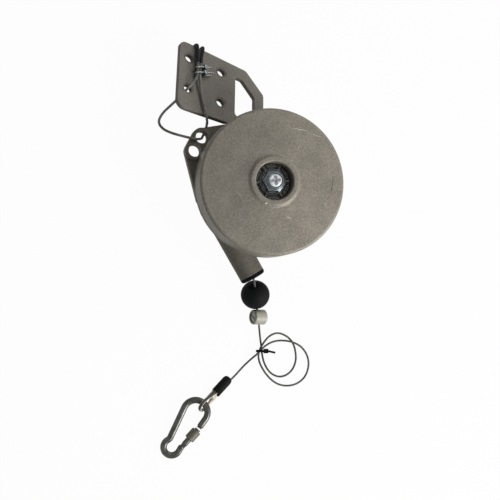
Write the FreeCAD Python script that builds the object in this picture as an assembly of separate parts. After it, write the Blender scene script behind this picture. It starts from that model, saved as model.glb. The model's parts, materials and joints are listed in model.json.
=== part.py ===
"""Spring balancer for a hand tool: a rope drum and power spring in a cast housing.

Millimetres. The balancer lies on its back: +Z is the drum axis, out through the front cover,
and the origin is the middle of the flat rear face. The rope leaves towards -Y.
"""
import FreeCAD
import Part
import math
import os

V = FreeCAD.Vector
Z = V(0, 0, 1)
ORIGIN = V(0, 0, 0)

# ---- driving dimensions -------------------------------------------------------------------
HOUSING_R = 70.0          # flange and cover skirt
SPLIT_Z = 47.0            # joint face between rear housing and cover
FLANGE_Z = 40.0           # underside of the rear housing's flange
RIM_Z = 70.5              # top of the cover at its rim
LIP_Z = 77.8              # top of the lip round the recess
RECESS_R = 18.0
RECESS_Z = 61.0           # floor of the recess
WALL = 3.5

SHAFT_R = 8.0
BUSH_GAP = 0.05           # running clearance on the shaft
SHAFT_TOP = 80.5

ROPE_R = 1.0
ROPE_LINE_R = 53.4        # drum axis to the straight rope in the outlet
ROPE_Z = 34.0
GROOVES = 6
GROOVE_PITCH = 3.0
GROOVE_GROWTH = 0.96      # each groove's radius over the last: the drum is a cone
PULL_ANGLE = math.radians(-60.0)
PULL = V(math.cos(PULL_ANGLE), math.sin(PULL_ANGLE), 0)
ROPE_FOOT = V(PULL.y, -PULL.x, 0) * ROPE_LINE_R + Z * ROPE_Z
OUTLET_MOUTH = 68.3       # along the pull, from the foot of the drum's radius
NOZZLE_END = 72.3
OUTLET_R = 12.4
OUTLET_BORE_R = 9.5

EAR_Z = (33.0, 45.0)
EAR_HOLE_R = 6.0
EAR_LOBE_R = 9.2
EAR_WEB_Z = 42.0         # the web between the lobes' boss and the pot is thinner
EAR_EDGE_R = 1.2
EAR_HOLES = (V(-70.1, 30.8, 0), V(-63.3, 43.9, 0))

SCREW_CIRCLE_R = 65.8
SCREW_ANGLES = (25, 70, 130, 205, 285, 340)

# bracket plate: its own frame stands on the hole nearest the plate's free corner
PLATE_T = 4.5
PLATE_EDGE_R = 0.9        # cast edges, front and back
PLATE_PITCH = 37.1
PLATE_HOLE_R = 4.25
PLATE_ORIGIN = V(-73.45, 122.45, 32.3)
PLATE_NORMAL = V(0.3892, 0.3664, 0.8451)
PLATE_ALONG = V(0.9141, -0.2673, -0.305)
PLATE_BOLTS = ((73.5, 39.5), (82.5, 32.0))

BALL_R = 14.2
BALL_CENTRE = V(-3.7, -104.7, 14.25)
BALL_BORE = V(0.19, -0.70, -0.69)
CLAMP_CENTRE = V(0.6, -126.6, 9.4)
CLAMP_AXIS = V(-0.951, 0, 0.309)
CLAMP_R = 7.4
CLAMP_LENGTH = 13.5

TIE_CENTRE = V(3.9, -160.0, 3.3)

EYE = V(-52.3, -211.3, 7.4)             # middle of the thimble's eye and of the hook's wire in it
ROPE_BACK = V(0.6984, 0.7157, -0.065)   # from the eye back along the rope's end
THIMBLE_TILT = math.radians(31.5)
THIMBLE_R = 5.7
THIMBLE_T = 3.2
THIMBLE_ROUND = 1.5       # the eye's rolled inner edge
EYE_ROPE_R = 7.3
SLEEVE_R = 4.75
SLEEVE_SPAN = (15.4, 35.6)
FERRULE_X = (21.5, 32.4)

HOOK_WIRE_R = 3.2
HOOK_ANGLE = math.radians(234.2)
HOOK_FALL = 0.0664
HOOK_BOW_R = 11.9
HOOK_BOW_OFFSET = -0.6
HOOK_EYE_R = 8.0
HOOK_EYE_CENTRE = V(40.0, 0.4, 0)
HOOK_SEAT_ANGLE = math.radians(165)
GATE_PIVOT = V(36.7, 8.15, 0)
GATE_NOSE = V(11.0, 11.3, 0)
GATE_R = 2.9

# the free rope: chosen by hand, from the nozzle's throat to its sleeve
ROPE_ROUTE = [
    (-13.0, -84.3, 34.0), (-10.3, -89.2, 33.5), (-8.3, -93.6, 30.4), (-6.7, -97.7, 25.2),
    (-5.2, -101.4, 19.6), (-3.6, -106.0, 14.3), (-2.0, -112.2, 10.9), (-0.6, -119.0, 9.3),
    (0.6, -126.3, 8.8), (2.0, -134.0, 6.6), (3.4, -141.3, 3.2), (4.7, -148.6, 1.3),
    (5.6, -155.2, 1.4), (5.95, -161.6, 1.9), (8.2, -171.6, 1.15), (13.7, -181.0, 1.05),
    (22.0, -185.8, 1.05), (30.4, -184.8, 1.1), (37.6, -179.2, 1.05), (41.3, -170.6, 1.05),
    (41.2, -162.2, 1.1), (39.0, -153.0, 1.05), (32.9, -145.6, 1.05), (22.4, -141.4, 1.1),
    (13.4, -145.2, 1.6), (8.2, -150.9, 3.4), (4.8, -155.6, 3.9), (3.0, -160.6, 2.1),
    (2.5, -166.4, 1.1), (5.0, -174.6, 1.05), (12.6, -185.8, 1.1), (21.6, -192.8, 1.05),
    (32.0, -195.0, 1.1), (42.6, -192.8, 1.05), (51.0, -186.0, 1.1), (54.8, -175.4, 1.05),
    (53.6, -165.2, 1.4), (47.6, -156.8, 2.9), (41.0, -152.8, 4.1), (34.6, -150.4, 4.0),
    (24.8, -149.4, 1.9), (16.6, -150.9, 2.5), (9.8, -154.0, 5.3), (4.9, -158.0, 6.0),
    (1.5, -162.2, 5.0), (-5.0, -167.8, 2.4), (-12.0, -174.3, 1.2), (-18.2, -180.6, 2.4),
    (-23.0, -185.2, 4.2), (-28.0, -189.55, 5.1),
]

# the safety rope, from its clip over the plate's far edge, behind the plate, through the ear
SAFETY_R = 1.3


# ---- building blocks ------------------------------------------------------------------------
def disc(radius, low, high, centre=ORIGIN):
    return Part.makeCylinder(radius, high - low, centre + Z * low, Z)


def ring(outer, inner, low, high, centre=ORIGIN):
    return disc(outer, low, high, centre).cut(disc(inner, low - 1, high + 1, centre))


def rod(start, end, radius):
    return Part.makeCylinder(radius, (end - start).Length, start, end - start)


def rounded_wire(points, radii, closed=True):
    """Straight runs through points, with a tangent arc of the given radius at each corner."""
    count = len(points)
    edges = []
    last = None
    first = None
    for i in range(count):
        here = points[i]
        at_end = not closed and i in (0, count - 1)
        radius = 0 if at_end else radii[i]
        before, after = points[i - 1], points[(i + 1) % count]
        if radius:
            back = (before - here).normalize()
            on = (after - here).normalize()
            half = (math.pi - back.getAngle(on)) / 2
            reach = radius * math.tan(half)
            start, end = here + back * reach, here + on * reach
            middle = here + (back + on).normalize() * (radius / math.cos(half) - radius)
        else:
            start = end = here
        if last is not None and (start - last).Length > 1e-6:
            edges.append(Part.LineSegment(last, start).toShape())
        if radius:
            edges.append(Part.Arc(start, middle, end).toShape())
        last = end
        first = start if first is None else first
    if closed and (first - last).Length > 1e-6:
        edges.append(Part.LineSegment(last, first).toShape())
    return Part.Wire(edges)


def lathe(profile):
    """Turns a closed outline of (radius, height, corner radius) about Z."""
    points = [V(p[0], 0, p[1]) for p in profile]
    radii = [p[2] if len(p) > 2 else 0 for p in profile]
    return Part.Face(rounded_wire(points, radii)).revolve(ORIGIN, Z, 360)


def route_wire(points):
    """Runs joined by the largest tangent arcs they allow. Returns the wire and its tightest radius."""
    radii = [0]
    for i in range(1, len(points) - 1):
        back = points[i - 1] - points[i]
        on = points[i + 1] - points[i]
        half = (math.pi - back.getAngle(on)) / 2
        radii.append(0.45 * min(back.Length, on.Length) / math.tan(half))
    radii.append(0)
    return rounded_wire(points, radii, closed=False), min(radii[1:-1])


def tube(points, radius, name):
    """A round cord along a route. Its volume is compared with its section times its length."""
    wire, tightest = route_wire(points)
    start = (points[1] - points[0]).normalize()
    section = Part.Wire(Part.Circle(points[0], start, radius).toShape())
    solid = wire.makePipeShell([section], True, False)
    share = solid.Volume / (math.pi * radius**2 * wire.Length)
    print(f"{name}: length {wire.Length:.1f} mm, tightest arc {tightest:.1f} mm, volume share {share:.4f}")
    return solid


def in_frame(shape, origin, along, normal):
    """Moves a shape built on the XY plane so that X lies along `along` and Z along `normal`."""
    rotation = FreeCAD.Rotation(along, V(), normal, "ZXY")
    moved = shape.copy()
    moved.Placement = FreeCAD.Placement(origin, rotation).multiply(shape.Placement)
    return moved


def group(shapes):
    return Part.makeCompound(shapes)


def on_circle(radius, degrees, height=0.0):
    angle = math.radians(degrees)
    return V(radius * math.cos(angle), radius * math.sin(angle), height)


# ---- rear housing ---------------------------------------------------------------------------
POT_OUTER = [(0, 0), (54, 0, 7), (61, FLANGE_Z), (HOUSING_R, FLANGE_Z, 1), (HOUSING_R, SPLIT_Z),
             (0, SPLIT_Z)]
POT_CAVITY = [(14, 5), (50.5, 5, 4), (58.5, FLANGE_Z), (58.5, 43.5), (HOUSING_R - WALL, 43.5, 1),
              (HOUSING_R - WALL, SPLIT_Z + 1), (0, SPLIT_Z + 1), (0, 12), (14, 12)]


def along_rope(distance, height=ROPE_Z):
    point = ROPE_FOOT + PULL * distance
    return V(point.x, point.y, height)


def ear_outline():
    """Both lobes of the ear and its straight flanks, run in to the pot wall."""
    low, high = EAR_HOLES
    top = math.radians(101.1)
    foot = math.radians(195.0)
    outward = (high - low).cross(Z).normalize() * -1
    middle_high = (outward + V(math.cos(top), math.sin(top), 0)).normalize()
    middle_low = (outward + V(math.cos(foot), math.sin(foot), 0)).normalize()
    top_out = V(math.cos(top), math.sin(top), 0)
    foot_out = V(math.cos(foot), math.sin(foot), 0)
    corners = [on_circle(64.3, 101.1), high + top_out * EAR_LOBE_R]
    arc_high = Part.Arc(corners[1], high + middle_high * EAR_LOBE_R, high + outward * EAR_LOBE_R)
    arc_low = Part.Arc(low + outward * EAR_LOBE_R, low + middle_low * EAR_LOBE_R,
                       low + foot_out * EAR_LOBE_R)
    foot_end = on_circle(69.2, 195.0)
    inner = [on_circle(50, 195), on_circle(50, 101.1)]
    edges = [
        Part.LineSegment(corners[0], corners[1]).toShape(),
        arc_high.toShape(),
        Part.LineSegment(high + outward * EAR_LOBE_R, low + outward * EAR_LOBE_R).toShape(),
        arc_low.toShape(),
        Part.LineSegment(low + foot_out * EAR_LOBE_R, foot_end).toShape(),
        Part.LineSegment(foot_end, inner[0]).toShape(),
        Part.LineSegment(inner[0], inner[1]).toShape(),
        Part.LineSegment(inner[1], corners[0]).toShape(),
    ]
    return Part.Face(Part.Wire(edges))


def make_ear():
    """A thin web from the pot, with a raised boss round both holes, all edges rounded."""
    web = ear_outline().extrude(Z * (EAR_WEB_Z - EAR_Z[0])).translate(Z * EAR_Z[0])
    web = web.makeFillet(EAR_EDGE_R, [e for e in web.Edges if e.BoundBox.ZLength < 0.01])
    low, high = EAR_HOLES
    across = (high - low).cross(Z).normalize() * (EAR_LOBE_R + 0.02)
    along = (high - low).normalize() * (EAR_LOBE_R + 0.02)
    boss = Part.Face(Part.Wire([
        Part.LineSegment(low + across, high + across).toShape(),
        Part.Arc(high + across, high + along, high - across).toShape(),
        Part.LineSegment(high - across, low - across).toShape(),
        Part.Arc(low - across, low - along, low + across).toShape(),
    ])).extrude(Z * (EAR_Z[1] - EAR_Z[0])).translate(Z * EAR_Z[0])
    boss = boss.makeFillet(EAR_EDGE_R, [e for e in boss.Edges if e.BoundBox.ZLength < 0.01])
    return web.fuse(boss)


def plate_point(along, down, above=0.0):
    """A point of the bracket plate's frame, above its front face."""
    across = PLATE_NORMAL.cross(PLATE_ALONG) * -1
    return PLATE_ORIGIN + PLATE_ALONG * along + across * down + PLATE_NORMAL * above


LUG_OUTLINE = [(78.4, 27.5, 2), (87.5, 27.5, 4), (87.5, 56, 2), (58, 56, 2), (58, 49.8, 1),
               (61.7, 46.6, 2)]
LUG_T = 9.0


def flat_face(outline):
    """A face on XY from (along, down, corner radius), with down drawn towards -Y."""
    points = [V(a, -b, 0) for a, b, _ in outline]
    return Part.Face(rounded_wire(points, [r for _, _, r in outline]))


def on_plate(shape):
    return in_frame(shape, PLATE_ORIGIN, PLATE_ALONG, PLATE_NORMAL)


def bracket_lug():
    """The cast lug under the plate's hidden corner, square to the plate."""
    block = flat_face(LUG_OUTLINE).extrude(Z * -LUG_T).translate(Z * -PLATE_T)
    return on_plate(block)


def make_rear_housing():
    body = lathe(POT_OUTER)
    body = body.fuse(make_ear())
    mouth = along_rope(OUTLET_MOUTH)
    body = body.fuse(Part.makeCone(OUTLET_R, OUTLET_R + 0.5, OUTLET_MOUTH - 4, mouth, PULL * -1))
    body = body.fuse(bracket_lug())
    body = body.cut(lathe(POT_CAVITY))
    body = body.cut(rod(along_rope(2), along_rope(OUTLET_MOUTH + 1), OUTLET_BORE_R))
    body = body.cut(disc(SHAFT_R + BUSH_GAP, 3.5, 13))
    for hole in EAR_HOLES:
        body = body.cut(disc(EAR_HOLE_R, 30, 48, hole))
    for angle in SCREW_ANGLES:
        body = body.cut(disc(2.25, 39, 48, on_circle(SCREW_CIRCLE_R, angle)))
    body = body.cut(disc(4.2, 30, FLANGE_Z, on_circle(SCREW_CIRCLE_R, 130)))
    for along, down in PLATE_BOLTS:
        body = body.cut(rod(plate_point(along, down, -13), plate_point(along, down), 2.5))
    return body


# ---- front cover ----------------------------------------------------------------------------
COVER_OUTER = [(0, 57.5), (21.5, 57.5, 2), (21.5, SPLIT_Z), (HOUSING_R, SPLIT_Z),
               (HOUSING_R, RIM_Z, 3), (25, 75.9, 4), (22.6, LIP_Z, 1.6), (RECESS_R, LIP_Z, 1.6),
               (RECESS_R, RECESS_Z), (0, RECESS_Z)]
COVER_CAVITY = [(21.5, SPLIT_Z - 1), (HOUSING_R - WALL, SPLIT_Z - 1),
                (HOUSING_R - WALL, RIM_Z - 3.6, 4), (25, 72.2, 1), (21.5, 71.6, 1)]


COVER_RIB_OUTLINE = [(22, 64.5), (58, 63), (66.2, 61), (66.2, 68.6), (22, 73.8)]
COVER_RIBS = 6
COVER_RIB_T = 2.4


def cover_rib(degrees):
    """One of the stiffening ribs cast under the cover, from the recess wall to the skirt."""
    corners = [V(r, -COVER_RIB_T / 2, z) for r, z in COVER_RIB_OUTLINE]
    rib = Part.Face(Part.makePolygon(corners + corners[:1])).extrude(V(0, COVER_RIB_T, 0))
    rib.rotate(ORIGIN, Z, degrees)
    return rib


def make_front_cover():
    cover = lathe(COVER_OUTER).cut(lathe(COVER_CAVITY))
    for k in range(COVER_RIBS):
        cover = cover.fuse(cover_rib(360 / COVER_RIBS * k + 47))
    skirt = disc(HOUSING_R - 0.5, SPLIT_Z, RIM_Z - 6)
    for angle in SCREW_ANGLES:
        boss = disc(4, SPLIT_Z, 60, on_circle(SCREW_CIRCLE_R, angle))
        cover = cover.fuse(boss.common(skirt))
    for angle in SCREW_ANGLES:
        cover = cover.cut(disc(2.02, SPLIT_Z - 1, 57, on_circle(SCREW_CIRCLE_R, angle)))
    return cover.cut(disc(10.02, 50, 65)).removeSplitter()


def cap_screw(base, up, head_r, head_h, shank_r, shank_l, socket=True):
    """A cap screw whose head sits with its bearing face at base and points its shank up."""
    screw = Part.makeCylinder(head_r, head_h, base - up * head_h, up)
    screw = screw.fuse(Part.makeCylinder(shank_r, shank_l, base, up))
    if socket:
        across = head_r * 0.58
        hexagon = Part.makePolygon([V(across * math.cos(math.radians(60 * k)),
                                      across * math.sin(math.radians(60 * k)), 0) for k in range(7)])
        recess = Part.Face(hexagon).extrude(Z * (head_h * 0.55))
        recess.Placement = FreeCAD.Placement(base - up * head_h, FreeCAD.Rotation(Z, up))
        screw = screw.cut(recess)
    return screw


def make_cover_screws():
    return group([cap_screw(on_circle(SCREW_CIRCLE_R, a, FLANGE_Z), Z, 3.5, 3.6, 1.98, 15)
                  for a in SCREW_ANGLES])


def make_nozzle():
    """Split plastic guide in the outlet's mouth, with a flared throat."""
    mouth = along_rope(OUTLET_MOUTH)
    profile = [(1.7, -10), (OUTLET_BORE_R - 0.05, -10), (OUTLET_BORE_R - 0.05, 0), (OUTLET_R, 0),
               (OUTLET_R, NOZZLE_END - OUTLET_MOUTH, 2.4), (8.4, NOZZLE_END - OUTLET_MOUTH, 1.5),
               (1.7, -4.5, 3)]
    guide = lathe(profile)
    slit = Part.makeBox(0.8, 14, 20, V(-0.4, 1.2, -11))
    slit.rotate(ORIGIN, Z, -17)
    guide = guide.cut(slit)
    return in_frame(guide, mouth, PULL.cross(Z), PULL)


# ---- shaft and adjuster ---------------------------------------------------------------------
SPRING_Z = (21.0, 48.0)
SLOT_W = 1.6


def make_main_shaft():
    shaft = disc(SHAFT_R, 4.6, 66).fuse(disc(6, 66, SHAFT_TOP - 1.2))
    shaft = shaft.fuse(Part.makeCone(6, 4.8, 1.2, V(0, 0, SHAFT_TOP - 1.2), Z))
    shaft = shaft.cut(Part.makeCone(0, 1.7, 2.4, V(0, 0, SHAFT_TOP - 2.4), Z))
    return shaft.cut(spring_slot()).removeSplitter()


def spring_slot():
    return Part.makeBox(14, SLOT_W, 29, V(0, -SLOT_W / 2, SPRING_Z[0] - 1))


def make_spring_arbor():
    """Sleeve that the spring winds on. The spring's tongue keys it to the shaft."""
    arbor = ring(11.5, SHAFT_R + 0.02, SPRING_Z[0] - 0.1, SPRING_Z[1] + 1)
    return arbor.cut(spring_slot())


def make_castle_ring():
    """Adjuster ring keyed on the shaft: a crown and an outer wall between six thin radial ribs."""
    body = ring(16.8, SHAFT_R + 0.02, 61.2, 64.4).fuse(ring(12.2, 10.4, 64.0, 68.0))
    wall = ring(16.6, 14.6, 64.0, 66.8)
    for k in range(6):
        angle = 60 * k + 4
        gap = Part.makeBox(6, 7.4, 4, V(13, -3.7, 64.4))
        gap.rotate(ORIGIN, Z, angle)
        wall = wall.cut(gap)
        rib = Part.makeBox(5.0, 1.2, 4.6, V(11.6, -0.6, 64.0))
        rib.rotate(ORIGIN, Z, angle)
        body = body.fuse(rib)
    return body.fuse(wall).removeSplitter()


NUT_ACROSS_FLATS = 19.0


def hexagon_prism(across_flats, low, high, centre=ORIGIN):
    radius = across_flats / math.sqrt(3)
    corners = [centre + on_circle(radius, 60 * k, low) for k in range(6)]
    return Part.Face(Part.makePolygon(corners + corners[:1])).extrude(Z * (high - low))


def make_lock_nut():
    """Self-locking nut: chamfered hexagon with a rolled collar round its insert."""
    prism = hexagon_prism(NUT_ACROSS_FLATS, 68.2, 76.6)
    dome = lathe([(0, 68.2), (11.2, 68.2), (11.2, 74.8), (8.8, 76.6), (0, 76.6)])
    collar = lathe([(6.6, 76.4), (8.4, 76.4), (8.4, 79.2, 1.2), (6.6, 79.2, 0.4)])
    return prism.common(dome).fuse(collar).cut(disc(6.05, 67, 80))


# ---- rope drum and power spring -------------------------------------------------------------
DRUM_TOP = 54.5
POCKET_R = 45.5
DRUM_SCREW_R = 48.2


def groove_radius(index):
    return ROPE_LINE_R + GROOVE_GROWTH * index


def groove_height(index):
    return ROPE_Z + GROOVE_PITCH * index


def drum_flank():
    """The drum's outer edge from its small flange up the cone: one round groove for each turn."""
    seat = ROPE_R + 0.12
    edges = []
    last = V(55.2, 0, 31)
    for k in range(GROOVES):
        radius, height = groove_radius(k), groove_height(k)
        start, end = V(radius, 0, height - seat), V(radius, 0, height + seat)
        edges.append(Part.LineSegment(last, start).toShape())
        edges.append(Part.Arc(start, V(radius - seat, 0, height), end).toShape())
        last = end
    return edges, last


def make_rope_drum():
    edges, last = drum_flank()
    path = [last, V(60.5, 0, 52), V(60.5, 0, DRUM_TOP), V(51.6, 0, DRUM_TOP), V(51.6, 0, 51.9),
            V(POCKET_R, 0, 51.9), V(POCKET_R, 0, 18), V(14, 0, 18), V(14, 0, 20.5), V(11.05, 0, 20.5),
            V(11.05, 0, 14), V(49.0, 0, 14), V(49.8, 0, 29), V(55.2, 0, 29), V(55.2, 0, 31)]
    edges += [Part.LineSegment(a, b).toShape() for a, b in zip(path, path[1:])]
    drum = Part.Face(Part.Wire(Part.__sortEdges__(edges))).revolve(ORIGIN, Z, 360)
    drum = drum.cut(Part.makeBox(4, SLOT_W, 29, V(-48.2, -SLOT_W / 2, SPRING_Z[0] - 1)))
    for angle in (90, 210, 330):
        drum = drum.cut(disc(1.6, 45, 60, on_circle(DRUM_SCREW_R, angle)))
    height = groove_height(GROOVES - 1)
    return drum.cut(rod(on_circle(47.4, 150, height), on_circle(64, 150, height), 1.4))


def make_drum_cover():
    plate = ring(51.4, 15, 52, DRUM_TOP).fuse(ring(16, 11.05, 50, 56.5))
    for angle in (90, 210, 330):
        plate = plate.cut(disc(1.9, 51, 56, on_circle(DRUM_SCREW_R, angle)))
    return plate.removeSplitter()


def make_drum_screws():
    screws = []
    for angle in (90, 210, 330):
        place = on_circle(DRUM_SCREW_R, angle)
        screws.append(disc(1.55, 46, DRUM_TOP, place).fuse(disc(2.8, DRUM_TOP, 56.2, place)))
    return group(screws)


SPRING_PITCH = 4.2
SPRING_T = 1.0
SPRING_HALF_TURNS = 15
SPRING_INNER_R = 13.4


def make_power_spring():
    """Strip wound in half-turns about two centres, hooked into the shaft and the drum's wall."""
    inner, outer = [], []
    for k in range(SPRING_HALF_TURNS):
        side = 1 - 2 * (k % 2)
        centre = V(SPRING_PITCH / 2 * (k % 2), 0, 0)
        for extra, store in ((0, inner), (SPRING_T, outer)):
            r = SPRING_INNER_R + SPRING_PITCH / 2 * k + extra
            store.append(Part.Arc(centre + V(side * r, 0, 0), centre + V(0, side * r, 0),
                                  centre + V(-side * r, 0, 0)).toShape())
    last_r = SPRING_INNER_R + SPRING_PITCH / 2 * (SPRING_HALF_TURNS - 1)
    ends = [Part.LineSegment(V(SPRING_INNER_R, 0, 0), V(SPRING_INNER_R + SPRING_T, 0, 0)).toShape(),
            Part.LineSegment(V(-last_r, 0, 0), V(-last_r - SPRING_T, 0, 0)).toShape()]
    wire = Part.Wire(Part.__sortEdges__(inner + outer + ends))
    width = SPRING_Z[1] - SPRING_Z[0]
    strip = Part.Face(wire).extrude(Z * width).translate(Z * SPRING_Z[0])
    tongue = Part.makeBox(8.2, 1.0, width, V(6.2, -0.5, SPRING_Z[0]))
    hook = Part.makeBox(4.6, 1.0, width, V(-last_r - 4.6, -0.5, SPRING_Z[0]))
    return strip.fuse(tongue).fuse(hook).removeSplitter()


def make_wound_rope():
    """The turns of rope on the drum; the last one ends where the rope leaves it."""
    turns = []
    for k in range(GROOVES):
        sweep = 300 if k == 0 else 352
        centre = V(0, 0, groove_height(k))
        turn = Part.makeTorus(groove_radius(k), ROPE_R, centre, Z, -180, 180, sweep)
        turn.rotate(centre, Z, 210 - sweep)
        turns.append(turn)
    return group(turns)


def make_rope_anchor():
    height = groove_height(5)
    return rod(on_circle(47.6, 150, height), on_circle(53.5, 150, height), 1.38)


# ---- the rope's working end -----------------------------------------------------------------
def make_rope_lead():
    return rod(along_rope(0.5), V(*ROPE_ROUTE[0]), ROPE_R)


def make_tool_rope():
    return tube([V(*p) for p in ROPE_ROUTE], ROPE_R, "tool rope")


def rope_channel(first, last, radius):
    """The room that a stretch of the rope needs through a piece threaded on it."""
    return tube([V(*p) for p in ROPE_ROUTE[first:last]], radius, "channel")


def make_stop_ball():
    """Rubber ball, bored for the rope and flared at both ends of the bore."""
    axis = V(BALL_BORE).normalize()
    ball = Part.makeSphere(BALL_R, BALL_CENTRE)
    for way in (axis, axis * -1):
        ball = ball.cut(Part.makeCone(2.2, 5.2, 10, BALL_CENTRE + way * 6, way))
    return ball.cut(rope_channel(1, 9, 1.9))


def clamp_place(along):
    return CLAMP_CENTRE + V(CLAMP_AXIS).normalize() * along


def make_clamp_body():
    """Barrel-shaped plastic clamp, cross-bored for the rope, with its screw down the axis."""
    half = CLAMP_LENGTH / 2
    barrel = lathe([(0, -half), (CLAMP_R, -half, 1.2), (CLAMP_R, half, 1.6), (0, half)])
    barrel = barrel.cut(disc(4.6, 3.4, half + 1)).cut(disc(3.0, 1.3, half))
    barrel.Placement = FreeCAD.Placement(CLAMP_CENTRE, FreeCAD.Rotation(Z, V(CLAMP_AXIS).normalize()))
    return barrel.cut(rope_channel(6, 11, 1.35))


def make_clamp_screw():
    axis = V(CLAMP_AXIS).normalize()
    head = Part.makeCylinder(4.3, 2.4, clamp_place(3.6), axis)
    head = head.fuse(Part.makeCylinder(2.8, 2.1, clamp_place(1.5), axis))
    slot = Part.makeBox(1.1, 10, 1.4, V(-0.55, -5, 0))
    slot.rotate(ORIGIN, Z, 55)
    turn = FreeCAD.Placement(clamp_place(4.8), FreeCAD.Rotation(Z, axis))
    slot.Placement = turn.multiply(slot.Placement)
    return head.cut(slot)


def make_cable_tie():
    """Nylon tie round the crossed strands, with its locking head and cut tail."""
    low, high = V(-3.9, 0, -3.25), V(3.9, 0, 4.3)
    outer = [V(low.x, 0, low.z), V(high.x, 0, low.z), V(high.x, 0, high.z), V(low.x, 0, high.z)]
    inset = 0.6
    inner = [V(low.x + inset, 0, low.z + inset), V(high.x - inset, 0, low.z + inset),
             V(high.x - inset, 0, high.z - inset), V(low.x + inset, 0, high.z - inset)]
    band = Part.Face(rounded_wire(outer, [2.2] * 4)).cut(Part.Face(rounded_wire(inner, [1.6] * 4)))
    band = band.extrude(V(0, 2.4, 0)).translate(V(0, -1.2, 0))
    head = Part.makeBox(4.2, 4.4, 3.4, V(3.6, -2.2, -0.4))
    tail = Part.makeBox(8.0, 2.0, 0.9, V(7.4, -1.0, 0.6))
    tail.rotate(V(7.4, 0, 0.6), Z, -12)
    tie = band.fuse(head).fuse(tail)
    return tie.removeSplitter().translate(TIE_CENTRE)


def rope_end_place(shape):
    """Puts a shape drawn along X from the eye, in the thimble's plane XY, at the rope's end."""
    back = V(ROPE_BACK).normalize()
    level = back.cross(Z).normalize()
    up = level.cross(back).normalize()
    normal = level * math.cos(THIMBLE_TILT) + up * math.sin(THIMBLE_TILT)
    return in_frame(shape, EYE, back, normal)


def teardrop(radius, tip):
    """A round eye drawn out to a point at distance tip along X."""
    angle = math.acos(radius / tip)
    high = V(radius * math.cos(angle), radius * math.sin(angle), 0)
    low = V(high.x, -high.y, 0)
    edges = [Part.Arc(high, V(-radius, 0, 0), low).toShape(),
             Part.LineSegment(low, V(tip, 0, 0)).toShape(),
             Part.LineSegment(V(tip, 0, 0), high).toShape()]
    return Part.Wire(edges)


def make_thimble():
    """Grooved steel eye that keeps the rope's loop round."""
    plate = Part.Face(teardrop(EYE_ROPE_R + 0.2, 19.5)).extrude(Z * THIMBLE_T)
    plate = plate.cut(Part.Face(teardrop(THIMBLE_R, 15)).extrude(Z * THIMBLE_T))
    plate.translate(V(0, 0, -THIMBLE_T / 2))
    rims = [e for e in plate.Edges if e.BoundBox.ZLength < 0.01 and e.BoundBox.XMax < 15.1
            and e.BoundBox.XMin > -THIMBLE_R - 0.1 and e.BoundBox.YLength < 2 * THIMBLE_R + 0.1]
    plate = plate.makeFillet(THIMBLE_ROUND, rims)
    plate = plate.common(Part.makeBox(25, 20, 6, V(-9, -10, -3)))
    return rope_end_place(plate.cut(eye_loop(ROPE_R + 0.1)))


def eye_loop(radius):
    """The rope's loop in the thimble's groove, both legs running in to the ferrule."""
    leg_y = ROPE_R + 0.15
    turn = Part.makeTorus(EYE_ROPE_R, radius, ORIGIN, Z, -180, 180, 216)
    turn.rotate(ORIGIN, Z, 72)
    legs = []
    for side in (1, -1):
        start = V(EYE_ROPE_R * math.cos(math.radians(72)), side * EYE_ROPE_R * math.sin(math.radians(72)), 0)
        heading = V(math.sin(math.radians(72)), -side * math.cos(math.radians(72)), 0)
        reach = (start.y - side * leg_y) / (side * math.cos(math.radians(72)))
        knee = start + heading * reach
        legs.append(rod(start, knee, radius))
        legs.append(Part.makeSphere(radius, knee))
        legs.append(rod(knee, V(FERRULE_X[0], knee.y, 0), radius))
    for leg in legs:
        turn = turn.fuse(leg)
    return turn


def make_eye_rope():
    return rope_end_place(eye_loop(ROPE_R))


def make_ferrule():
    """Pressed oval ferrule that closes the loop."""
    half, length = 1.6, FERRULE_X[1] - FERRULE_X[0]
    body = Part.makeBox(length, 2 * half, 5.0, V(FERRULE_X[0], -half, -2.5))
    for side in (1, -1):
        body = body.fuse(Part.makeCylinder(2.5, length, V(FERRULE_X[0], side * half, 0), V(1, 0, 0)))
    return rope_end_place(body.removeSplitter())


def make_rope_sleeve():
    """Soft sleeve over the ferrule, domed where the rope enters it and open towards the eye."""
    low, high = SLEEVE_SPAN
    outer = lathe([(0, low), (SLEEVE_R, low, 0.5), (SLEEVE_R, high, 3.6), (0, high)])
    sleeve = outer.cut(lathe([(0, low - 1), (4.15, low - 1), (4.15, 33.6, 1.5), (0, 33.6)]))
    sleeve.rotate(ORIGIN, V(0, 1, 0), 90)
    return rope_end_place(sleeve).cut(rope_channel(46, 50, 1.05))


# ---- screw-lock hook ------------------------------------------------------------------------
def hook_frame():
    heading = V(math.cos(HOOK_ANGLE), math.sin(HOOK_ANGLE), -HOOK_FALL).normalize()
    side = Z.cross(heading).normalize()
    normal = heading.cross(side).normalize()
    seat = V(HOOK_BOW_R * math.cos(HOOK_SEAT_ANGLE),
             HOOK_BOW_OFFSET + HOOK_BOW_R * math.sin(HOOK_SEAT_ANGLE), 0)
    origin = EYE - heading * seat.x - side * seat.y
    return origin, heading, side, normal


def hook_place(shape):
    origin, heading, _, normal = hook_frame()
    return in_frame(shape, origin, heading, normal)


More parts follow.
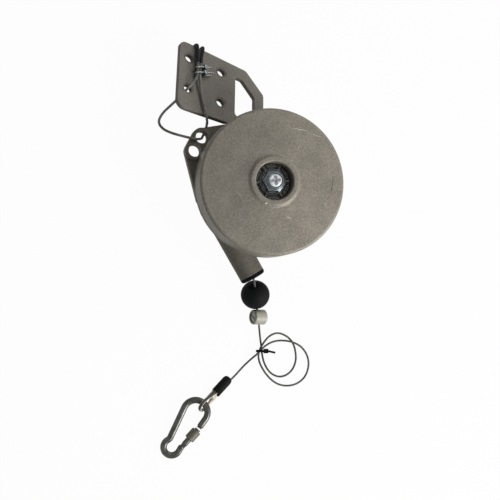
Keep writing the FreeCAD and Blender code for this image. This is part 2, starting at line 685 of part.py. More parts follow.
def hook_path():
    """Centre line of the hook's wire: nose, bow, spine, neck and small eye, up to the gate's pin."""
    bow = V(0, HOOK_BOW_OFFSET, 0)
    tilt = math.radians(11.0)
    spine_start = bow + V(math.sin(tilt), -math.cos(tilt), 0) * HOOK_BOW_R
    heading = V(math.cos(tilt), math.sin(tilt), 0)
    left = V(-math.sin(tilt), math.cos(tilt), 0)
    to_eye = HOOK_EYE_CENTRE - spine_start
    reach, height = to_eye.dot(heading), to_eye.dot(left)
    neck_r = 5.0
    across = math.sqrt((HOOK_EYE_R + neck_r) ** 2 - (height + neck_r) ** 2)
    neck_centre = spine_start + heading * (reach - across) - left * neck_r
    spine_end = neck_centre + left * neck_r
    touch = HOOK_EYE_CENTRE + (neck_centre - HOOK_EYE_CENTRE).normalize() * HOOK_EYE_R
    neck_mid = neck_centre + ((spine_end - neck_centre) + (touch - neck_centre)).normalize() * neck_r
    end_angle = math.radians(95)
    eye_end = HOOK_EYE_CENTRE + V(math.cos(end_angle), math.sin(end_angle), 0) * HOOK_EYE_R
    tail = eye_end + V(-math.sin(end_angle), math.cos(end_angle), 0) * 5.4
    eye_mid = HOOK_EYE_CENTRE + V(math.cos(math.radians(-20)), math.sin(math.radians(-20)), 0) * HOOK_EYE_R
    nose = V(GATE_NOSE.x - 2.4, GATE_NOSE.y, 0)
    edges = [
        Part.LineSegment(nose, V(0, GATE_NOSE.y, 0)).toShape(),
        Part.Arc(V(0, GATE_NOSE.y, 0), V(-HOOK_BOW_R, HOOK_BOW_OFFSET, 0), spine_start).toShape(),
        Part.LineSegment(spine_start, spine_end).toShape(),
        Part.Arc(spine_end, neck_mid, touch).toShape(),
        Part.Arc(touch, eye_mid, eye_end).toShape(),
        Part.LineSegment(eye_end, tail).toShape(),
    ]
    return Part.Wire(edges), nose


def make_hook_body():
    """Bent round bar; its nose is turned down to a pin and its small eye is slotted for the gate."""
    path, nose = hook_path()
    section = Part.Wire(Part.Circle(nose, V(1, 0, 0), HOOK_WIRE_R).toShape())
    bar = path.makePipeShell([section], True, False)
    pin = rod(nose - V(1, 0, 0), nose + V(1.6, 0, 0), 2.5)
    bar = bar.fuse(pin)
    slot = Part.makeBox(12, 9, 3.3, GATE_PIVOT + V(-7.5, -4.5, -1.65))
    bar = bar.cut(slot)
    return hook_place(bar.cut(disc(1.25, -6, 6, GATE_PIVOT)))


def make_gate():
    """Round gate with a flat tongue in the eye's slot and a thread for the sleeve."""
    heading = (GATE_NOSE - GATE_PIVOT).normalize()
    start = GATE_PIVOT + heading * 5.6
    end = GATE_NOSE - heading * 0.6
    gate = rod(start, end, GATE_R)
    tongue = Part.makeBox(8.4, 4.6, 3.0, V(-1.6, -2.3, -1.5))
    heel = [e for e in tongue.Edges if abs(e.tangentAt(0).z) > 0.9 and e.BoundBox.XMin < 0]
    tongue = tongue.makeFillet(1.4, heel)
    tongue = in_frame(tongue, GATE_PIVOT, heading, Z)
    gate = gate.fuse(tongue)
    gate = gate.cut(disc(1.35, -6, 6, GATE_PIVOT))
    return hook_place(gate)


def make_gate_pin():
    return hook_place(disc(1.22, -3.1, 3.1, GATE_PIVOT))


def make_lock_sleeve():
    """Knurled screw sleeve on the gate, drawn back from the nose."""
    heading = (GATE_NOSE - GATE_PIVOT).normalize()
    near = GATE_NOSE - heading * 2.4
    far = near - heading * 11.2
    barrel = rod(far, near, 4.95)
    rim = [e for e in barrel.Edges if isinstance(e.Curve, Part.Circle)]
    return hook_place(barrel.makeChamfer(0.6, rim).cut(rod(far - heading, near + heading, GATE_R + 0.06)))


# ---- bracket and safety rope ----------------------------------------------------------------
PLATE_OUTLINE = [(-11.0, -18.6, 8), (66.5, -16.4, 6), (88.4, 5.0, 6), (88.4, 41.0, 4), (78.0, 52.0, 3),
                 (48.0, 57.3, 4), (-11.2, 62.4, 9)]
WINDOW = [(54.3, -2.4, 2.5), (62.0, -2.4, 4), (76.9, 13.0, 4), (76.9, 28.5, 4), (62.0, 44.6, 4),
          (54.3, 44.6, 4)]


def make_bracket_plate():
    plate = flat_face(PLATE_OUTLINE).cut(flat_face(WINDOW)).extrude(Z * -PLATE_T)
    plate = plate.makeFillet(PLATE_EDGE_R, [e for e in plate.Edges if e.BoundBox.ZLength < 0.01])
    for a in (0, PLATE_PITCH):
        for b in (0, PLATE_PITCH):
            plate = plate.cut(disc(PLATE_HOLE_R, -PLATE_T - 1, 1, V(a, -b, 0)))
            plate = plate.cut(disc(PLATE_HOLE_R + 2.4, -0.35, 1, V(a, -b, 0)))
    for a, b in PLATE_BOLTS:
        plate = plate.cut(disc(2.75, -PLATE_T - 1, 1, V(a, -b, 0)))
    plate = on_plate(plate)
    plate = plate.cut(disc(64.0, -5, 60)).cut(disc(HOUSING_R + 0.6, FLANGE_Z - 0.5, 60))
    flank = on_circle(0.6, 101.1)
    for shift in (ORIGIN, flank):
        room = ear_outline().extrude(Z * (EAR_Z[1] - EAR_Z[0] + 1.2))
        plate = plate.cut(room.translate(shift + Z * (EAR_Z[0] - 0.6)))
    return plate


def make_bracket_bolts():
    down = PLATE_NORMAL * -1
    return group([cap_screw(plate_point(a, b), down, 4.25, 4.6, 2.45, 12.5) for a, b in PLATE_BOLTS])


SAFETY_ROUTE = [
    plate_point(7.0, -10.5, -7.0), plate_point(6.8, -22.4, -8.3), plate_point(6.8, -22.6, 3.9),
    plate_point(7.6, -9.0, 2.5), plate_point(7.83, 5.6, 4.4), plate_point(7.4, 21.8, 4.4),
    plate_point(5.2, 28.0, 3.6), plate_point(1.5, 34.2, 3.2), plate_point(-1.5, 40.2, -7.8),
    plate_point(-6.3, 48.2, -9.4), V(-93.2, 73.2, 42.0), V(-100.4, 66.4, 36.0),
    V(-103.8, 58.6, 32.8), V(-99.6, 52.0, 34.4), V(-92.0, 47.6, 39.2), V(-83.4, 44.4, 44.6),
    V(-75.0, 42.0, 47.8), V(-67.6, 41.2, 47.0), V(-62.9, 42.9, 40.6), V(-60.8, 45.6, 33.8),
    V(-58.4, 49.6, 29.6), V(-56.2, 55.4, 30.4), V(-58.4, 58.9, 36.0), plate_point(23.5, 62.6, -7.0),
    plate_point(18.0, 62.8, 2.9), plate_point(16.4, 53.5, 2.5), plate_point(14.2, 44.3, 2.2),
    plate_point(11.2, 32.0, 2.6), plate_point(10.2, 21.8, 4.4), plate_point(10.62, 5.6, 4.4),
    plate_point(12.6, -8.8, 2.5), plate_point(14.0, -22.4, 3.9), plate_point(14.2, -22.4, -8.3),
    plate_point(13.9, -10.5, -7.0),
]


def make_safety_rope():
    return tube(SAFETY_ROUTE, SAFETY_R, "safety rope")


def make_safety_sleeves():
    """Heat-shrink sleeves where the rope's two ends go over the plate's far edge."""
    keep = on_plate(Part.makeBox(40, 40, 30, V(-10, -1.5, -15)))
    sleeves = []
    for stretch in (SAFETY_ROUTE[:6], SAFETY_ROUTE[-6:]):
        shell = tube(stretch, 1.62, "sleeve").cut(tube(stretch, SAFETY_R + 0.02, "sleeve bore"))
        sleeves.append(shell.common(keep))
    return group(sleeves)


# ---- rope clips -----------------------------------------------------------------------------
CLIP_PLACES = (((9.1, 11.0), 12.6), ((8.9, 17.6), 16.0))   # where the ropes cross, thread length
CLIP_ALONG = V(0.93, 0.37, 0)
CLIP_LIFT = 4.4
U_WIRE_R = 0.85
U_BEND_R = 2.35
U_BEND_X = -1.8
SADDLE_X = (4.4, 6.3)
CLIP_NUT_X = (6.35, 8.05)


def clip_place(shape, place):
    """Puts a clip drawn with its legs along X, one above the other in Z, on the plate."""
    turned = in_frame(shape, V(place[0], -place[1], CLIP_LIFT), CLIP_ALONG, Z)
    return on_plate(group([turned])).Solids[0]


def make_clip_ubolts():
    bolts = []
    for place, reach in CLIP_PLACES:
        high, low = V(U_BEND_X, 0, U_BEND_R), V(U_BEND_X, 0, -U_BEND_R)
        path = Part.Wire([
            Part.LineSegment(V(reach, 0, U_BEND_R), high).toShape(),
            Part.Arc(high, V(U_BEND_X - U_BEND_R, 0, 0), low).toShape(),
            Part.LineSegment(low, V(reach, 0, -U_BEND_R)).toShape()])
        section = Part.Wire(Part.Circle(V(reach, 0, U_BEND_R), V(1, 0, 0), U_WIRE_R).toShape())
        bolts.append(clip_place(path.makePipeShell([section], True, False), place))
    return group(bolts)


def make_clip_saddles():
    saddles = []
    for place, _ in CLIP_PLACES:
        width, height = 5.0, 8.0
        corner = V(SADDLE_X[0], -width / 2, -height / 2)
        block = Part.makeBox(SADDLE_X[1] - SADDLE_X[0], width, height, corner)
        block = block.makeFillet(1.2, [e for e in block.Edges if abs(e.tangentAt(0).x) > 0.9])
        for side in (1, -1):
            start = V(SADDLE_X[0] - 1, 0, side * U_BEND_R)
            block = block.cut(rod(start, start + V(4, 0, 0), U_WIRE_R + 0.1))
        saddles.append(clip_place(block, place))
    return group(saddles)


def make_clip_nuts():
    nuts = []
    for place, _ in CLIP_PLACES:
        for side in (1, -1):
            low, high = CLIP_NUT_X
            crown = lathe([(0, low), (1.85, low), (2.1, low + 0.25), (2.1, high - 0.25),
                           (1.85, high), (0, high)])
            nut = hexagon_prism(3.6, low, high).common(crown).cut(disc(U_WIRE_R + 0.02, 0, 20))
            nut.rotate(ORIGIN, V(0, 1, 0), 90)
            nut.translate(V(0, 0, side * U_BEND_R))
            nuts.append(clip_place(nut, place))
    return group(nuts)


# ---- export ---------------------------------------------------------------------------------
def export(name, shape):
    solids = shape.Solids
    good = all(s.isValid() and s.Volume > 0 for s in solids)
    if len(solids) == 1:
        shape = solids[0]
    shape.exportStep(f"parts/{name}.step")
    print(f"{name}: {len(solids)} solid(s), valid {good}, {shape.Volume / 1000:.2f} cm3")


os.makedirs("parts", exist_ok=True)

export("rear_housing", make_rear_housing())
export("front_cover", make_front_cover())
export("cover_screws", make_cover_screws())
export("cover_bush", ring(10.0, SHAFT_R + BUSH_GAP, 57.5, RECESS_Z))
export("nozzle", make_nozzle())
export("rear_thrust_washer", ring(13.5, SHAFT_R + 0.15, 12.1, 13.9))
export("front_thrust_washer", ring(15.0, SHAFT_R + 0.15, 56.6, 57.4))

export("main_shaft", make_main_shaft())
export("spring_arbor", make_spring_arbor())
export("castle_ring", make_castle_ring())
export("lock_washer", ring(10.2, 6.3, 66.05, 68.1))
export("lock_nut", make_lock_nut())

export("rope_drum", make_rope_drum())
export("rear_bush", ring(11.0, SHAFT_R + BUSH_GAP, 14, 20.5))
export("front_bush", ring(11.0, SHAFT_R + BUSH_GAP, 50, 56.5))
export("power_spring", make_power_spring())
export("drum_cover", make_drum_cover())
export("drum_screws", make_drum_screws())
export("wound_rope", make_wound_rope())
export("rope_anchor", make_rope_anchor())

export("rope_lead", make_rope_lead())
export("tool_rope", make_tool_rope())
export("stop_ball", make_stop_ball())
export("clamp_body", make_clamp_body())
export("clamp_screw", make_clamp_screw())
export("cable_tie", make_cable_tie())
export("rope_sleeve", make_rope_sleeve())
export("rope_ferrule", make_ferrule())
export("thimble", make_thimble())
export("eye_rope", make_eye_rope())

export("hook_body", make_hook_body())
export("gate_pin", make_gate_pin())
export("hook_gate", make_gate())
export("hook_lock_sleeve", make_lock_sleeve())

export("bracket_plate", make_bracket_plate())
export("bracket_bolts", make_bracket_bolts())
export("safety_rope", make_safety_rope())
export("safety_rope_sleeves", make_safety_sleeves())
export("clip_ubolts", make_clip_ubolts())
export("clip_saddles", make_clip_saddles())
export("clip_nuts", make_clip_nuts())
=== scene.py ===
"""Finishes of a spring balancer for a hand tool: castings, drum, wire ropes, stop ball and hook."""
import bpy
import bmesh
import json
import math
from mathutils import Matrix, Vector


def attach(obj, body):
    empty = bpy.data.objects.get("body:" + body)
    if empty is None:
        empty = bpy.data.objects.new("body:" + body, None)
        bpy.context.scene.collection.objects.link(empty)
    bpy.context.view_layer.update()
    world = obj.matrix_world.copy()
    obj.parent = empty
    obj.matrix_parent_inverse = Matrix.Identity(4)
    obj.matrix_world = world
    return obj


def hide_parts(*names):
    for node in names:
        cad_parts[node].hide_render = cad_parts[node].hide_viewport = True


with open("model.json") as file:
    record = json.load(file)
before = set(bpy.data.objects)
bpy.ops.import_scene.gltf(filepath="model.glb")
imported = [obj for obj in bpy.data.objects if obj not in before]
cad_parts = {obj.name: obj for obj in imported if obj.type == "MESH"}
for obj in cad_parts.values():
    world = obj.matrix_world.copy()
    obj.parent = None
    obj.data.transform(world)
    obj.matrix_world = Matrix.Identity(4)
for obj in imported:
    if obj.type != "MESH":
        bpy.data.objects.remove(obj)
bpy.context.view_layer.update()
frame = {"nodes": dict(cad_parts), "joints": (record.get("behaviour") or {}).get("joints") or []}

nodes = frame["nodes"]


# ---- view and light -------------------------------------------------------------------------
# A long lens almost straight above the balancer, which lies on its back on a pale table. A soft
# lamp stands to the lower right of the view and a weaker one to its upper right, so the left
# flanks of the castings fall into shade.
CAMERA_TILT = math.radians(14.08)       # away from straight above
CAMERA_TURN = math.radians(196.4)
CAMERA_DISTANCE = 1.1437
to_camera = Vector((math.sin(CAMERA_TILT) * math.cos(CAMERA_TURN),
                    math.sin(CAMERA_TILT) * math.sin(CAMERA_TURN), math.cos(CAMERA_TILT)))
looked_at = Vector((-0.0055, -0.0599, 0))
camera_up = (Vector((0, 1, 0)) - to_camera * to_camera.y).normalized()


def facing(place, towards, up):
    """A matrix at place whose -Z axis looks along -towards, with up at the top."""
    back = towards.normalized()
    right = up.cross(back).normalized()
    turn = Matrix((right, back.cross(right), back)).transposed().to_4x4()
    return Matrix.Translation(place) @ turn


camera = bpy.data.objects.new("camera", bpy.data.cameras.new("camera"))
camera.data.lens = 82.8
camera.data.sensor_width = 36
camera.matrix_world = facing(looked_at + to_camera * CAMERA_DISTANCE, to_camera, camera_up)
bpy.context.scene.collection.objects.link(camera)
bpy.context.scene.camera = camera
bpy.context.scene.view_settings.view_transform = "Standard"


def lamp(name, place, side, watts):
    """A square soft lamp that looks at the middle of the balancer."""
    light = bpy.data.lights.new(name, "AREA")
    light.size = side
    light.energy = watts
    holder = bpy.data.objects.new(name, light)
    holder.matrix_world = facing(Vector(place), Vector(place) - looked_at, Vector((0, 1, 0.01)))
    bpy.context.scene.collection.objects.link(holder)


lamp("main_lamp", (0.95, -0.75, 0.7), 0.7, 24)
lamp("fill_lamp", (0.75, 0.85, 0.75), 0.9, 6)


def linear(code):
    """Linear colour from an sRGB hex code."""
    channels = [int(code[i:i + 2], 16) / 255 for i in (1, 3, 5)]
    return [c / 12.92 if c <= 0.04045 else ((c + 0.055) / 1.055) ** 2.4 for c in channels] + [1]


def connect(node, inputs):
    """Fills a node's inputs, by name, number or order, with values, sockets or whole nodes."""
    for key, value in inputs.items() if isinstance(inputs, dict) else enumerate(inputs):
        if isinstance(value, bpy.types.Node):
            value = value.outputs[0]
        if isinstance(value, bpy.types.NodeSocket):
            node.id_data.links.new(value, node.inputs[key])
        else:
            node.inputs[key].default_value = value


def add(tree, kind, inputs=(), **settings):
    """Adds a node with its settings and inputs."""
    node = tree.nodes.new(kind)
    for key, value in settings.items():
        setattr(node, key, value)
    connect(node, inputs)
    return node


def seen_directly(tree):
    """1 for rays from the camera and for rays that a shiny or clear surface sends out."""
    path = add(tree, "ShaderNodeLightPath").outputs
    either = add(tree, "ShaderNodeMath", (path["Is Camera Ray"], path["Is Glossy Ray"]),
                 operation="MAXIMUM")
    return add(tree, "ShaderNodeMath", (either, path["Is Transmission Ray"]), operation="MAXIMUM")


# studio air: an even pale dome lights the balancer; seen directly or in shiny metal it is white
world = bpy.data.worlds.new("studio")
bpy.context.scene.world = world
world.use_nodes = True
air = world.node_tree
air.nodes.clear()
dome = add(air, "ShaderNodeBackground", {"Color": linear("#F4F6FA"), "Strength": 0.2})
backdrop = add(air, "ShaderNodeBackground", {"Color": (1, 1, 1, 1), "Strength": 1.0})
dome_mix = add(air, "ShaderNodeMixShader", (seen_directly(air), dome, backdrop))
add(air, "ShaderNodeOutputWorld", {"Surface": dome_mix})

# the table: a pale matt board, bright enough to look white, that keeps a faint shadow
TABLE_SIDE = 3.0
BOARD_GLOW = 0.97           # share of plain white in what is seen of the board
bpy.ops.mesh.primitive_plane_add(size=TABLE_SIDE, location=(0, 0, 0))
table = bpy.context.object
table.name = "table"
board = bpy.data.materials.new("pale_matt_board")
board.use_nodes = True
board_tree = board.node_tree
board_tree.nodes.clear()
board_matt = add(board_tree, "ShaderNodeBsdfDiffuse", {"Color": linear("#C9C9C9")})
board_white = add(board_tree, "ShaderNodeEmission", {"Color": (1, 1, 1, 1), "Strength": 1.0})
board_share = add(board_tree, "ShaderNodeMath", (seen_directly(board_tree), BOARD_GLOW),
                  operation="MULTIPLY")
board_mix = add(board_tree, "ShaderNodeMixShader", (board_share, board_matt, board_white))
add(board_tree, "ShaderNodeOutputMaterial", {"Surface": board_mix})
table.data.materials.append(board)


# ---- rear housing and bracket plate ---------------------------------------------------------
# Die castings of aluminium, blasted with glass beads after fettling: a warm grey skin with a
# fine even grit that scatters light, faintly cloudy where the metal flowed. Handling has
# rubbed the edges paler.
MM = 0.001
GRIT = 1.7 * MM             # real beads leave 0.2 mm; drawn coarser so that it shows
GRIT_DEPTH = 0.05 * MM
CLOUD = 16 * MM
RUBBED = 0.7 * MM           # how far the wear reaches from an edge
RUBBED_SHARE = 0.35         # how much of the grey it takes off there


def new_material(name, colour, metallic, roughness, **more):
    """A material of one shader, with its even values set on the shader itself."""
    made = bpy.data.materials.new(name)
    made.use_nodes = True
    tree = made.node_tree
    tree.nodes.clear()
    shader = add(tree, "ShaderNodeBsdfPrincipled",
                 {"Base Color": linear(colour), "Metallic": metallic, "Roughness": roughness,
                  **more})
    add(tree, "ShaderNodeOutputMaterial", {"Surface": shader})
    return made, tree, shader


def shader_of(material):
    """The one shader of a material made above."""
    return next(node for node in material.node_tree.nodes if node.type == "BSDF_PRINCIPLED")


def wear(*names, material):
    """Gives CAD nodes their finish."""
    for name in names:
        for slot in nodes[name].material_slots:
            slot.material = material


def edges(tree, reach):
    """About 0 on flat skin and rising to 1 within reach of an edge."""
    blurred = add(tree, "ShaderNodeBevel", {"Radius": reach}, samples=6)
    plain = add(tree, "ShaderNodeNewGeometry").outputs["Normal"]
    alike = add(tree, "ShaderNodeVectorMath", (blurred, plain), operation="DOT_PRODUCT")
    return add(tree, "ShaderNodeMapRange", {"Value": alike.outputs["Value"], "From Min": 0.75,
                                            "From Max": 0.985, "To Min": 1.0, "To Max": 0.0})


def blasted_casting(name, dark, pale, worn, roughness):
    """Blasted aluminium: clouds and grit from dark to pale, with a worn tone on the edges."""
    made, tree, shader = new_material(name, pale, 0.2, roughness, **{"Specular IOR Level": 0.25})
    place = add(tree, "ShaderNodeTexCoord").outputs["Object"]
    cloud = add(tree, "ShaderNodeTexNoise", {"Vector": place, "Scale": 1 / CLOUD})
    grit = add(tree, "ShaderNodeTexNoise", {"Vector": place, "Scale": 1 / GRIT, "Roughness": 0.6})
    speckle = add(tree, "ShaderNodeMapRange", {"Value": grit, "From Min": 0.2, "From Max": 0.8,
                                               "To Min": -0.7, "To Max": 0.7})
    tone = add(tree, "ShaderNodeMath", (cloud, speckle), operation="ADD")
    paleness = add(tree, "ShaderNodeMapRange", {"Value": tone, "From Min": 0.1, "From Max": 0.9})
    skin = add(tree, "ShaderNodeMix", {0: paleness, 6: linear(dark), 7: linear(pale)},
               data_type="RGBA")
    rubbed = add(tree, "ShaderNodeMath", (edges(tree, RUBBED), RUBBED_SHARE), operation="MULTIPLY")
    edged = add(tree, "ShaderNodeMix", {0: rubbed, 6: skin.outputs[2], 7: linear(worn)},
                data_type="RGBA")
    gloss = add(tree, "ShaderNodeMapRange", {"Value": grit, "To Min": roughness - 0.06,
                                             "To Max": roughness + 0.08})
    pits = add(tree, "ShaderNodeBump", {"Height": grit, "Distance": GRIT_DEPTH})
    connect(shader, {"Base Color": edged.outputs[2], "Roughness": gloss, "Normal": pits})
    return made


# the housing's grey is darker than the cover's, though both are the same casting: painted shade on
# its sides and ear
housing_cast = blasted_casting("bead_blasted_aluminium_casting", "#5A564D", "#6B665C", "#8C857A",
                               0.6)
wear("rear_housing", material=housing_cast)

# the plate's own frame stands on one of its holes; round each hole: dirt, and painted shade on its
# wall
PLATE_ORIGIN = Vector((-0.07345, 0.12245, 0.0323))
PLATE_NORMAL = Vector((0.3892, 0.3664, 0.8451)).normalized()
PLATE_ALONG = Vector((0.9141, -0.2673, -0.305)).normalized()
PLATE_DOWN = PLATE_ALONG.cross(PLATE_NORMAL).normalized()
PLATE_PITCH = 37.1 * MM
STAIN_AND_SHADE = (6.6 * MM, 6.6 * MM, 30 * MM)   # half sizes of the dark patch, dirt and painted shade: across the plate and through it
STRAY = 1.6 * MM            # how far a mark wanders from its own line
STRAY_LENGTH = 5 * MM       # over what length it does


def ellipse_marks(material, marks):
    """Draws each mark as a soft ellipse: middle, half sizes, turn, colour and strength."""
    tree, shader = material.node_tree, shader_of(material)
    place = add(tree, "ShaderNodeTexCoord").outputs["Object"]
    waver = add(tree, "ShaderNodeTexNoise", {"Vector": place, "Scale": 1 / STRAY_LENGTH,
                                             "Detail": 1.0})
    sway = (STRAY,) * 3
    shift = add(tree, "ShaderNodeVectorMath", (waver.outputs["Color"], sway, place),
                operation="MULTIPLY_ADD")
    colour = shader.inputs["Base Color"].links[0].from_socket
    for middle, half, turn, code, strength in marks:
        local = add(tree, "ShaderNodeMapping",
                    {"Vector": shift, "Location": Vector(middle) + Vector(sway) / 2,
                     "Rotation": turn, "Scale": half}, vector_type="TEXTURE")
        fade = add(tree, "ShaderNodeTexGradient", {"Vector": local}, gradient_type="SPHERICAL")
        amount = add(tree, "ShaderNodeMapRange", {"Value": fade.outputs[1], "From Max": 0.5,
                                                  "To Max": strength})
        colour = add(tree, "ShaderNodeMix", {0: amount, 6: colour, 7: linear(code)},
                     data_type="RGBA").outputs[2]
    connect(shader, {"Base Color": colour})


plate_turn = Matrix((PLATE_ALONG, -PLATE_DOWN, PLATE_NORMAL)).transposed().to_euler()
plate_holes = [PLATE_ORIGIN + PLATE_ALONG * PLATE_PITCH * i + PLATE_DOWN * PLATE_PITCH * j
               for i in (0, 1) for j in (0, 1)]
plate_cast = blasted_casting("bead_blasted_aluminium_plate", "#605B54", "#716C65", "#938D83", 0.58)
# each patch is partly grease and dirt and partly painted shade, which darkens the hole's wall
ellipse_marks(plate_cast, [(hole, STAIN_AND_SHADE, plate_turn, "#24231F", 0.85) for hole in plate_holes])
wear("bracket_plate", material=plate_cast)


# ---- arbor, bushes, spring and drum ---------------------------------------------------------
# The parts inside. Turning leaves fine rings on the steel arbor, the sintered bronze bushes are
# dull and porous, the spring strip keeps its blue-grey temper, and the drum is a casting with
# a soft machined sheen. Screws are plated with zinc, a pale grey with faint clouds.
def ringed_steel(name, colour, roughness, ring, depth):
    """Turned steel: rings of tool marks along the shaft."""
    made, tree, shader = new_material(name, colour, 1.0, roughness)
    place = add(tree, "ShaderNodeTexCoord").outputs["Object"]
    marks = add(tree, "ShaderNodeTexWave",
                {"Vector": place, "Scale": 1 / (ring * math.tau), "Distortion": 0.4, "Detail": 1.0},
                wave_type="BANDS", bands_direction="Z").outputs[1]
    gloss = add(tree, "ShaderNodeMapRange", {"Value": marks, "To Min": roughness - 0.05,
                                             "To Max": roughness + 0.1})
    rings = add(tree, "ShaderNodeBump", {"Height": marks, "Distance": depth})
    connect(shader, {"Roughness": gloss, "Normal": rings})
    return made


def mottled_metal(name, dark, pale, roughness, size, depth, metallic=1.0):
    """Metal whose tone, gloss and skin vary with one noise of that size and depth."""
    made, tree, shader = new_material(name, pale, metallic, roughness)
    place = add(tree, "ShaderNodeTexCoord").outputs["Object"]
    cloud = add(tree, "ShaderNodeTexNoise", {"Vector": place, "Scale": 1 / size, "Detail": 3.0,
                                             "Roughness": 0.6})
    paleness = add(tree, "ShaderNodeMapRange", {"Value": cloud, "From Min": 0.32, "From Max": 0.66})
    skin = add(tree, "ShaderNodeMix", {0: paleness, 6: linear(dark), 7: linear(pale)},
               data_type="RGBA")
    gloss = add(tree, "ShaderNodeMapRange", {"Value": cloud, "From Min": 0.3, "From Max": 0.7,
                                             "To Min": roughness + 0.08,
                                             "To Max": roughness - 0.05})
    pits = add(tree, "ShaderNodeBump", {"Height": cloud, "Distance": depth})
    connect(shader, {"Base Color": skin.outputs[2], "Roughness": gloss, "Normal": pits})
    return made


wear("spring_arbor", material=ringed_steel("turned_steel", "#C9CCCB", 0.24, 0.35 * MM, 0.012 * MM))
wear("cover_bush", "rear_bush", "front_bush", "rear_thrust_washer", "front_thrust_washer",
     material=mottled_metal("sintered_bronze", "#8A6238", "#B58A52", 0.42, 0.5 * MM, 0.02 * MM))
wear("power_spring",
     material=mottled_metal("tempered_spring_strip", "#4B5258", "#7C838A", 0.3, 6 * MM, 0.004 * MM))
wear("rope_drum", "drum_cover",
     material=mottled_metal("machined_aluminium_casting", "#A3A19C", "#BFBDB8", 0.38, 2.2 * MM,
                            0.012 * MM))
zinc = mottled_metal("zinc_plated_steel", "#575B59", "#868A87", 0.34, 1.6 * MM, 0.01 * MM)
wear("drum_screws", "rope_anchor", "cover_screws", "bracket_bolts", "clamp_screw", material=zinc)


# ---- wire rope ------------------------------------------------------------------------------
# Six strands laid round a core, each a bundle of drawn zinc-coated wires. The strands are real
# shapes that follow the rope's line; the wires in them show as a fine slanting grain and glint.
STRANDS = 6
STRAND_SHARE = 0.335        # strand radius over rope radius
STRAND_STEP = 0.9           # length of a strand's facets over rope radius
STRAND_SIDES = 7
LAY = 6.5                   # one full turn of a strand, in rope diameters
STREAK = 0.55 * MM          # real wires are 0.2 mm; drawn coarser so that they show
STREAK_DEPTH = 0.05 * MM
GRIME = 7 * MM


def node_tree(name, sizes):
    """A geometry tree with a geometry input, named number inputs and a finish."""
    tree = bpy.data.node_groups.new(name, "GeometryNodeTree")
    tree.interface.new_socket("Geometry", in_out="INPUT", socket_type="NodeSocketGeometry")
    for label in sizes:
        tree.interface.new_socket(label, in_out="INPUT", socket_type="NodeSocketFloat")
    tree.interface.new_socket("Finish", in_out="INPUT", socket_type="NodeSocketMaterial")
    tree.interface.new_socket("Geometry", in_out="OUTPUT", socket_type="NodeSocketGeometry")
    return tree, tree.nodes.new("NodeGroupInput").outputs


def end_tree(tree, given, geometry, smooth):
    """Ends a tree: shading, real geometry, material."""
    shaded = add(tree, "GeometryNodeSetShadeSmooth", {"Geometry": geometry, "Shade Smooth": smooth})
    solid = add(tree, "GeometryNodeRealizeInstances", {"Geometry": shaded})
    covered = add(tree, "GeometryNodeSetMaterial", {"Geometry": solid, "Material": given["Finish"]})
    add(tree, "NodeGroupOutput", {"Geometry": covered})


def grow(name, start, tree, sizes, material):
    """Runs a tree on a mesh and keeps the result as a plain object at the origin."""
    seed = bpy.data.objects.new(name + "_start", start)
    bpy.context.scene.collection.objects.link(seed)
    modifier = seed.modifiers.new("tree", "NODES")
    modifier.node_group = tree
    sockets = {item.name: item.identifier for item in tree.interface.items_tree
               if item.in_out == "INPUT"}
    for label, value in {**sizes, "Finish": material}.items():
        modifier[sockets[label]] = value
    bpy.context.view_layer.update()
    ready = seed.evaluated_get(bpy.context.evaluated_depsgraph_get())
    mesh = bpy.data.meshes.new_from_object(ready)
    seed.modifiers.remove(modifier)
    bpy.data.objects.remove(seed)
    mesh.name = name
    piece = bpy.data.objects.new(name, mesh)
    bpy.context.scene.collection.objects.link(piece)
    return piece


# each strand is a copy of the rope's line, moved out to its place in the turn it has reached
laid, laid_size = node_tree("laid_rope", ["Rope radius", "Strand radius", "Lay length", "Step"])
laid_line = add(laid, "GeometryNodeMeshToCurve", {"Mesh": laid_size["Geometry"]})
laid_steps = add(laid, "GeometryNodeResampleCurve",
                 {"Curve": laid_line, "Length": laid_size["Step"]}, mode="LENGTH")
laid_copies = add(laid, "GeometryNodeDuplicateElements",
                  {"Geometry": laid_steps, "Amount": STRANDS}, domain="SPLINE")
laid_known = {socket.name: socket for socket in laid_size}
laid_known["along"] = add(laid, "GeometryNodeSplineParameter").outputs["Length"]
laid_known["copy"] = laid_copies.outputs["Duplicate Index"]
for result, operation, *values in (("lays", "DIVIDE", "along", "Lay length"),
                                   ("twist", "MULTIPLY", "lays", math.tau),
                                   ("phase", "MULTIPLY", "copy", math.tau / STRANDS),
                                   ("angle", "ADD", "twist", "phase"),
                                   ("reach", "SUBTRACT", "Rope radius", "Strand radius"),
                                   ("cosine", "COSINE", "angle"),
                                   ("sine", "SINE", "angle"),
                                   ("reach sideways", "MULTIPLY", "reach", "cosine"),
                                   ("reach upwards", "MULTIPLY", "reach", "sine")):
    laid_known[result] = add(laid, "ShaderNodeMath", [laid_known.get(v, v) for v in values],
                             operation=operation)
sideways = add(laid, "GeometryNodeInputNormal")
forwards = add(laid, "GeometryNodeInputTangent")
upwards = add(laid, "ShaderNodeVectorMath", (forwards, sideways), operation="CROSS_PRODUCT")
out_sideways = add(laid, "ShaderNodeVectorMath",
                   {0: sideways, "Scale": laid_known["reach sideways"]}, operation="SCALE")
out_upwards = add(laid, "ShaderNodeVectorMath",
                  {0: upwards, "Scale": laid_known["reach upwards"]}, operation="SCALE")
outwards = add(laid, "ShaderNodeVectorMath", (out_sideways, out_upwards), operation="ADD")
laid_shift = add(laid, "GeometryNodeSetPosition", {"Geometry": laid_copies, "Offset": outwards})
laid_all = add(laid, "GeometryNodeJoinGeometry")
for lines in (laid_shift, laid_steps):
    connect(laid_all, {"Geometry": lines})
laid_ring = add(laid, "GeometryNodeCurvePrimitiveCircle",
                {"Resolution": STRAND_SIDES, "Radius": laid_size["Strand radius"]})
laid_mesh = add(laid, "GeometryNodeCurveToMesh",
                {"Curve": laid_all, "Profile Curve": laid_ring, "Fill Caps": True})
end_tree(laid, laid_size, laid_mesh, smooth=True)


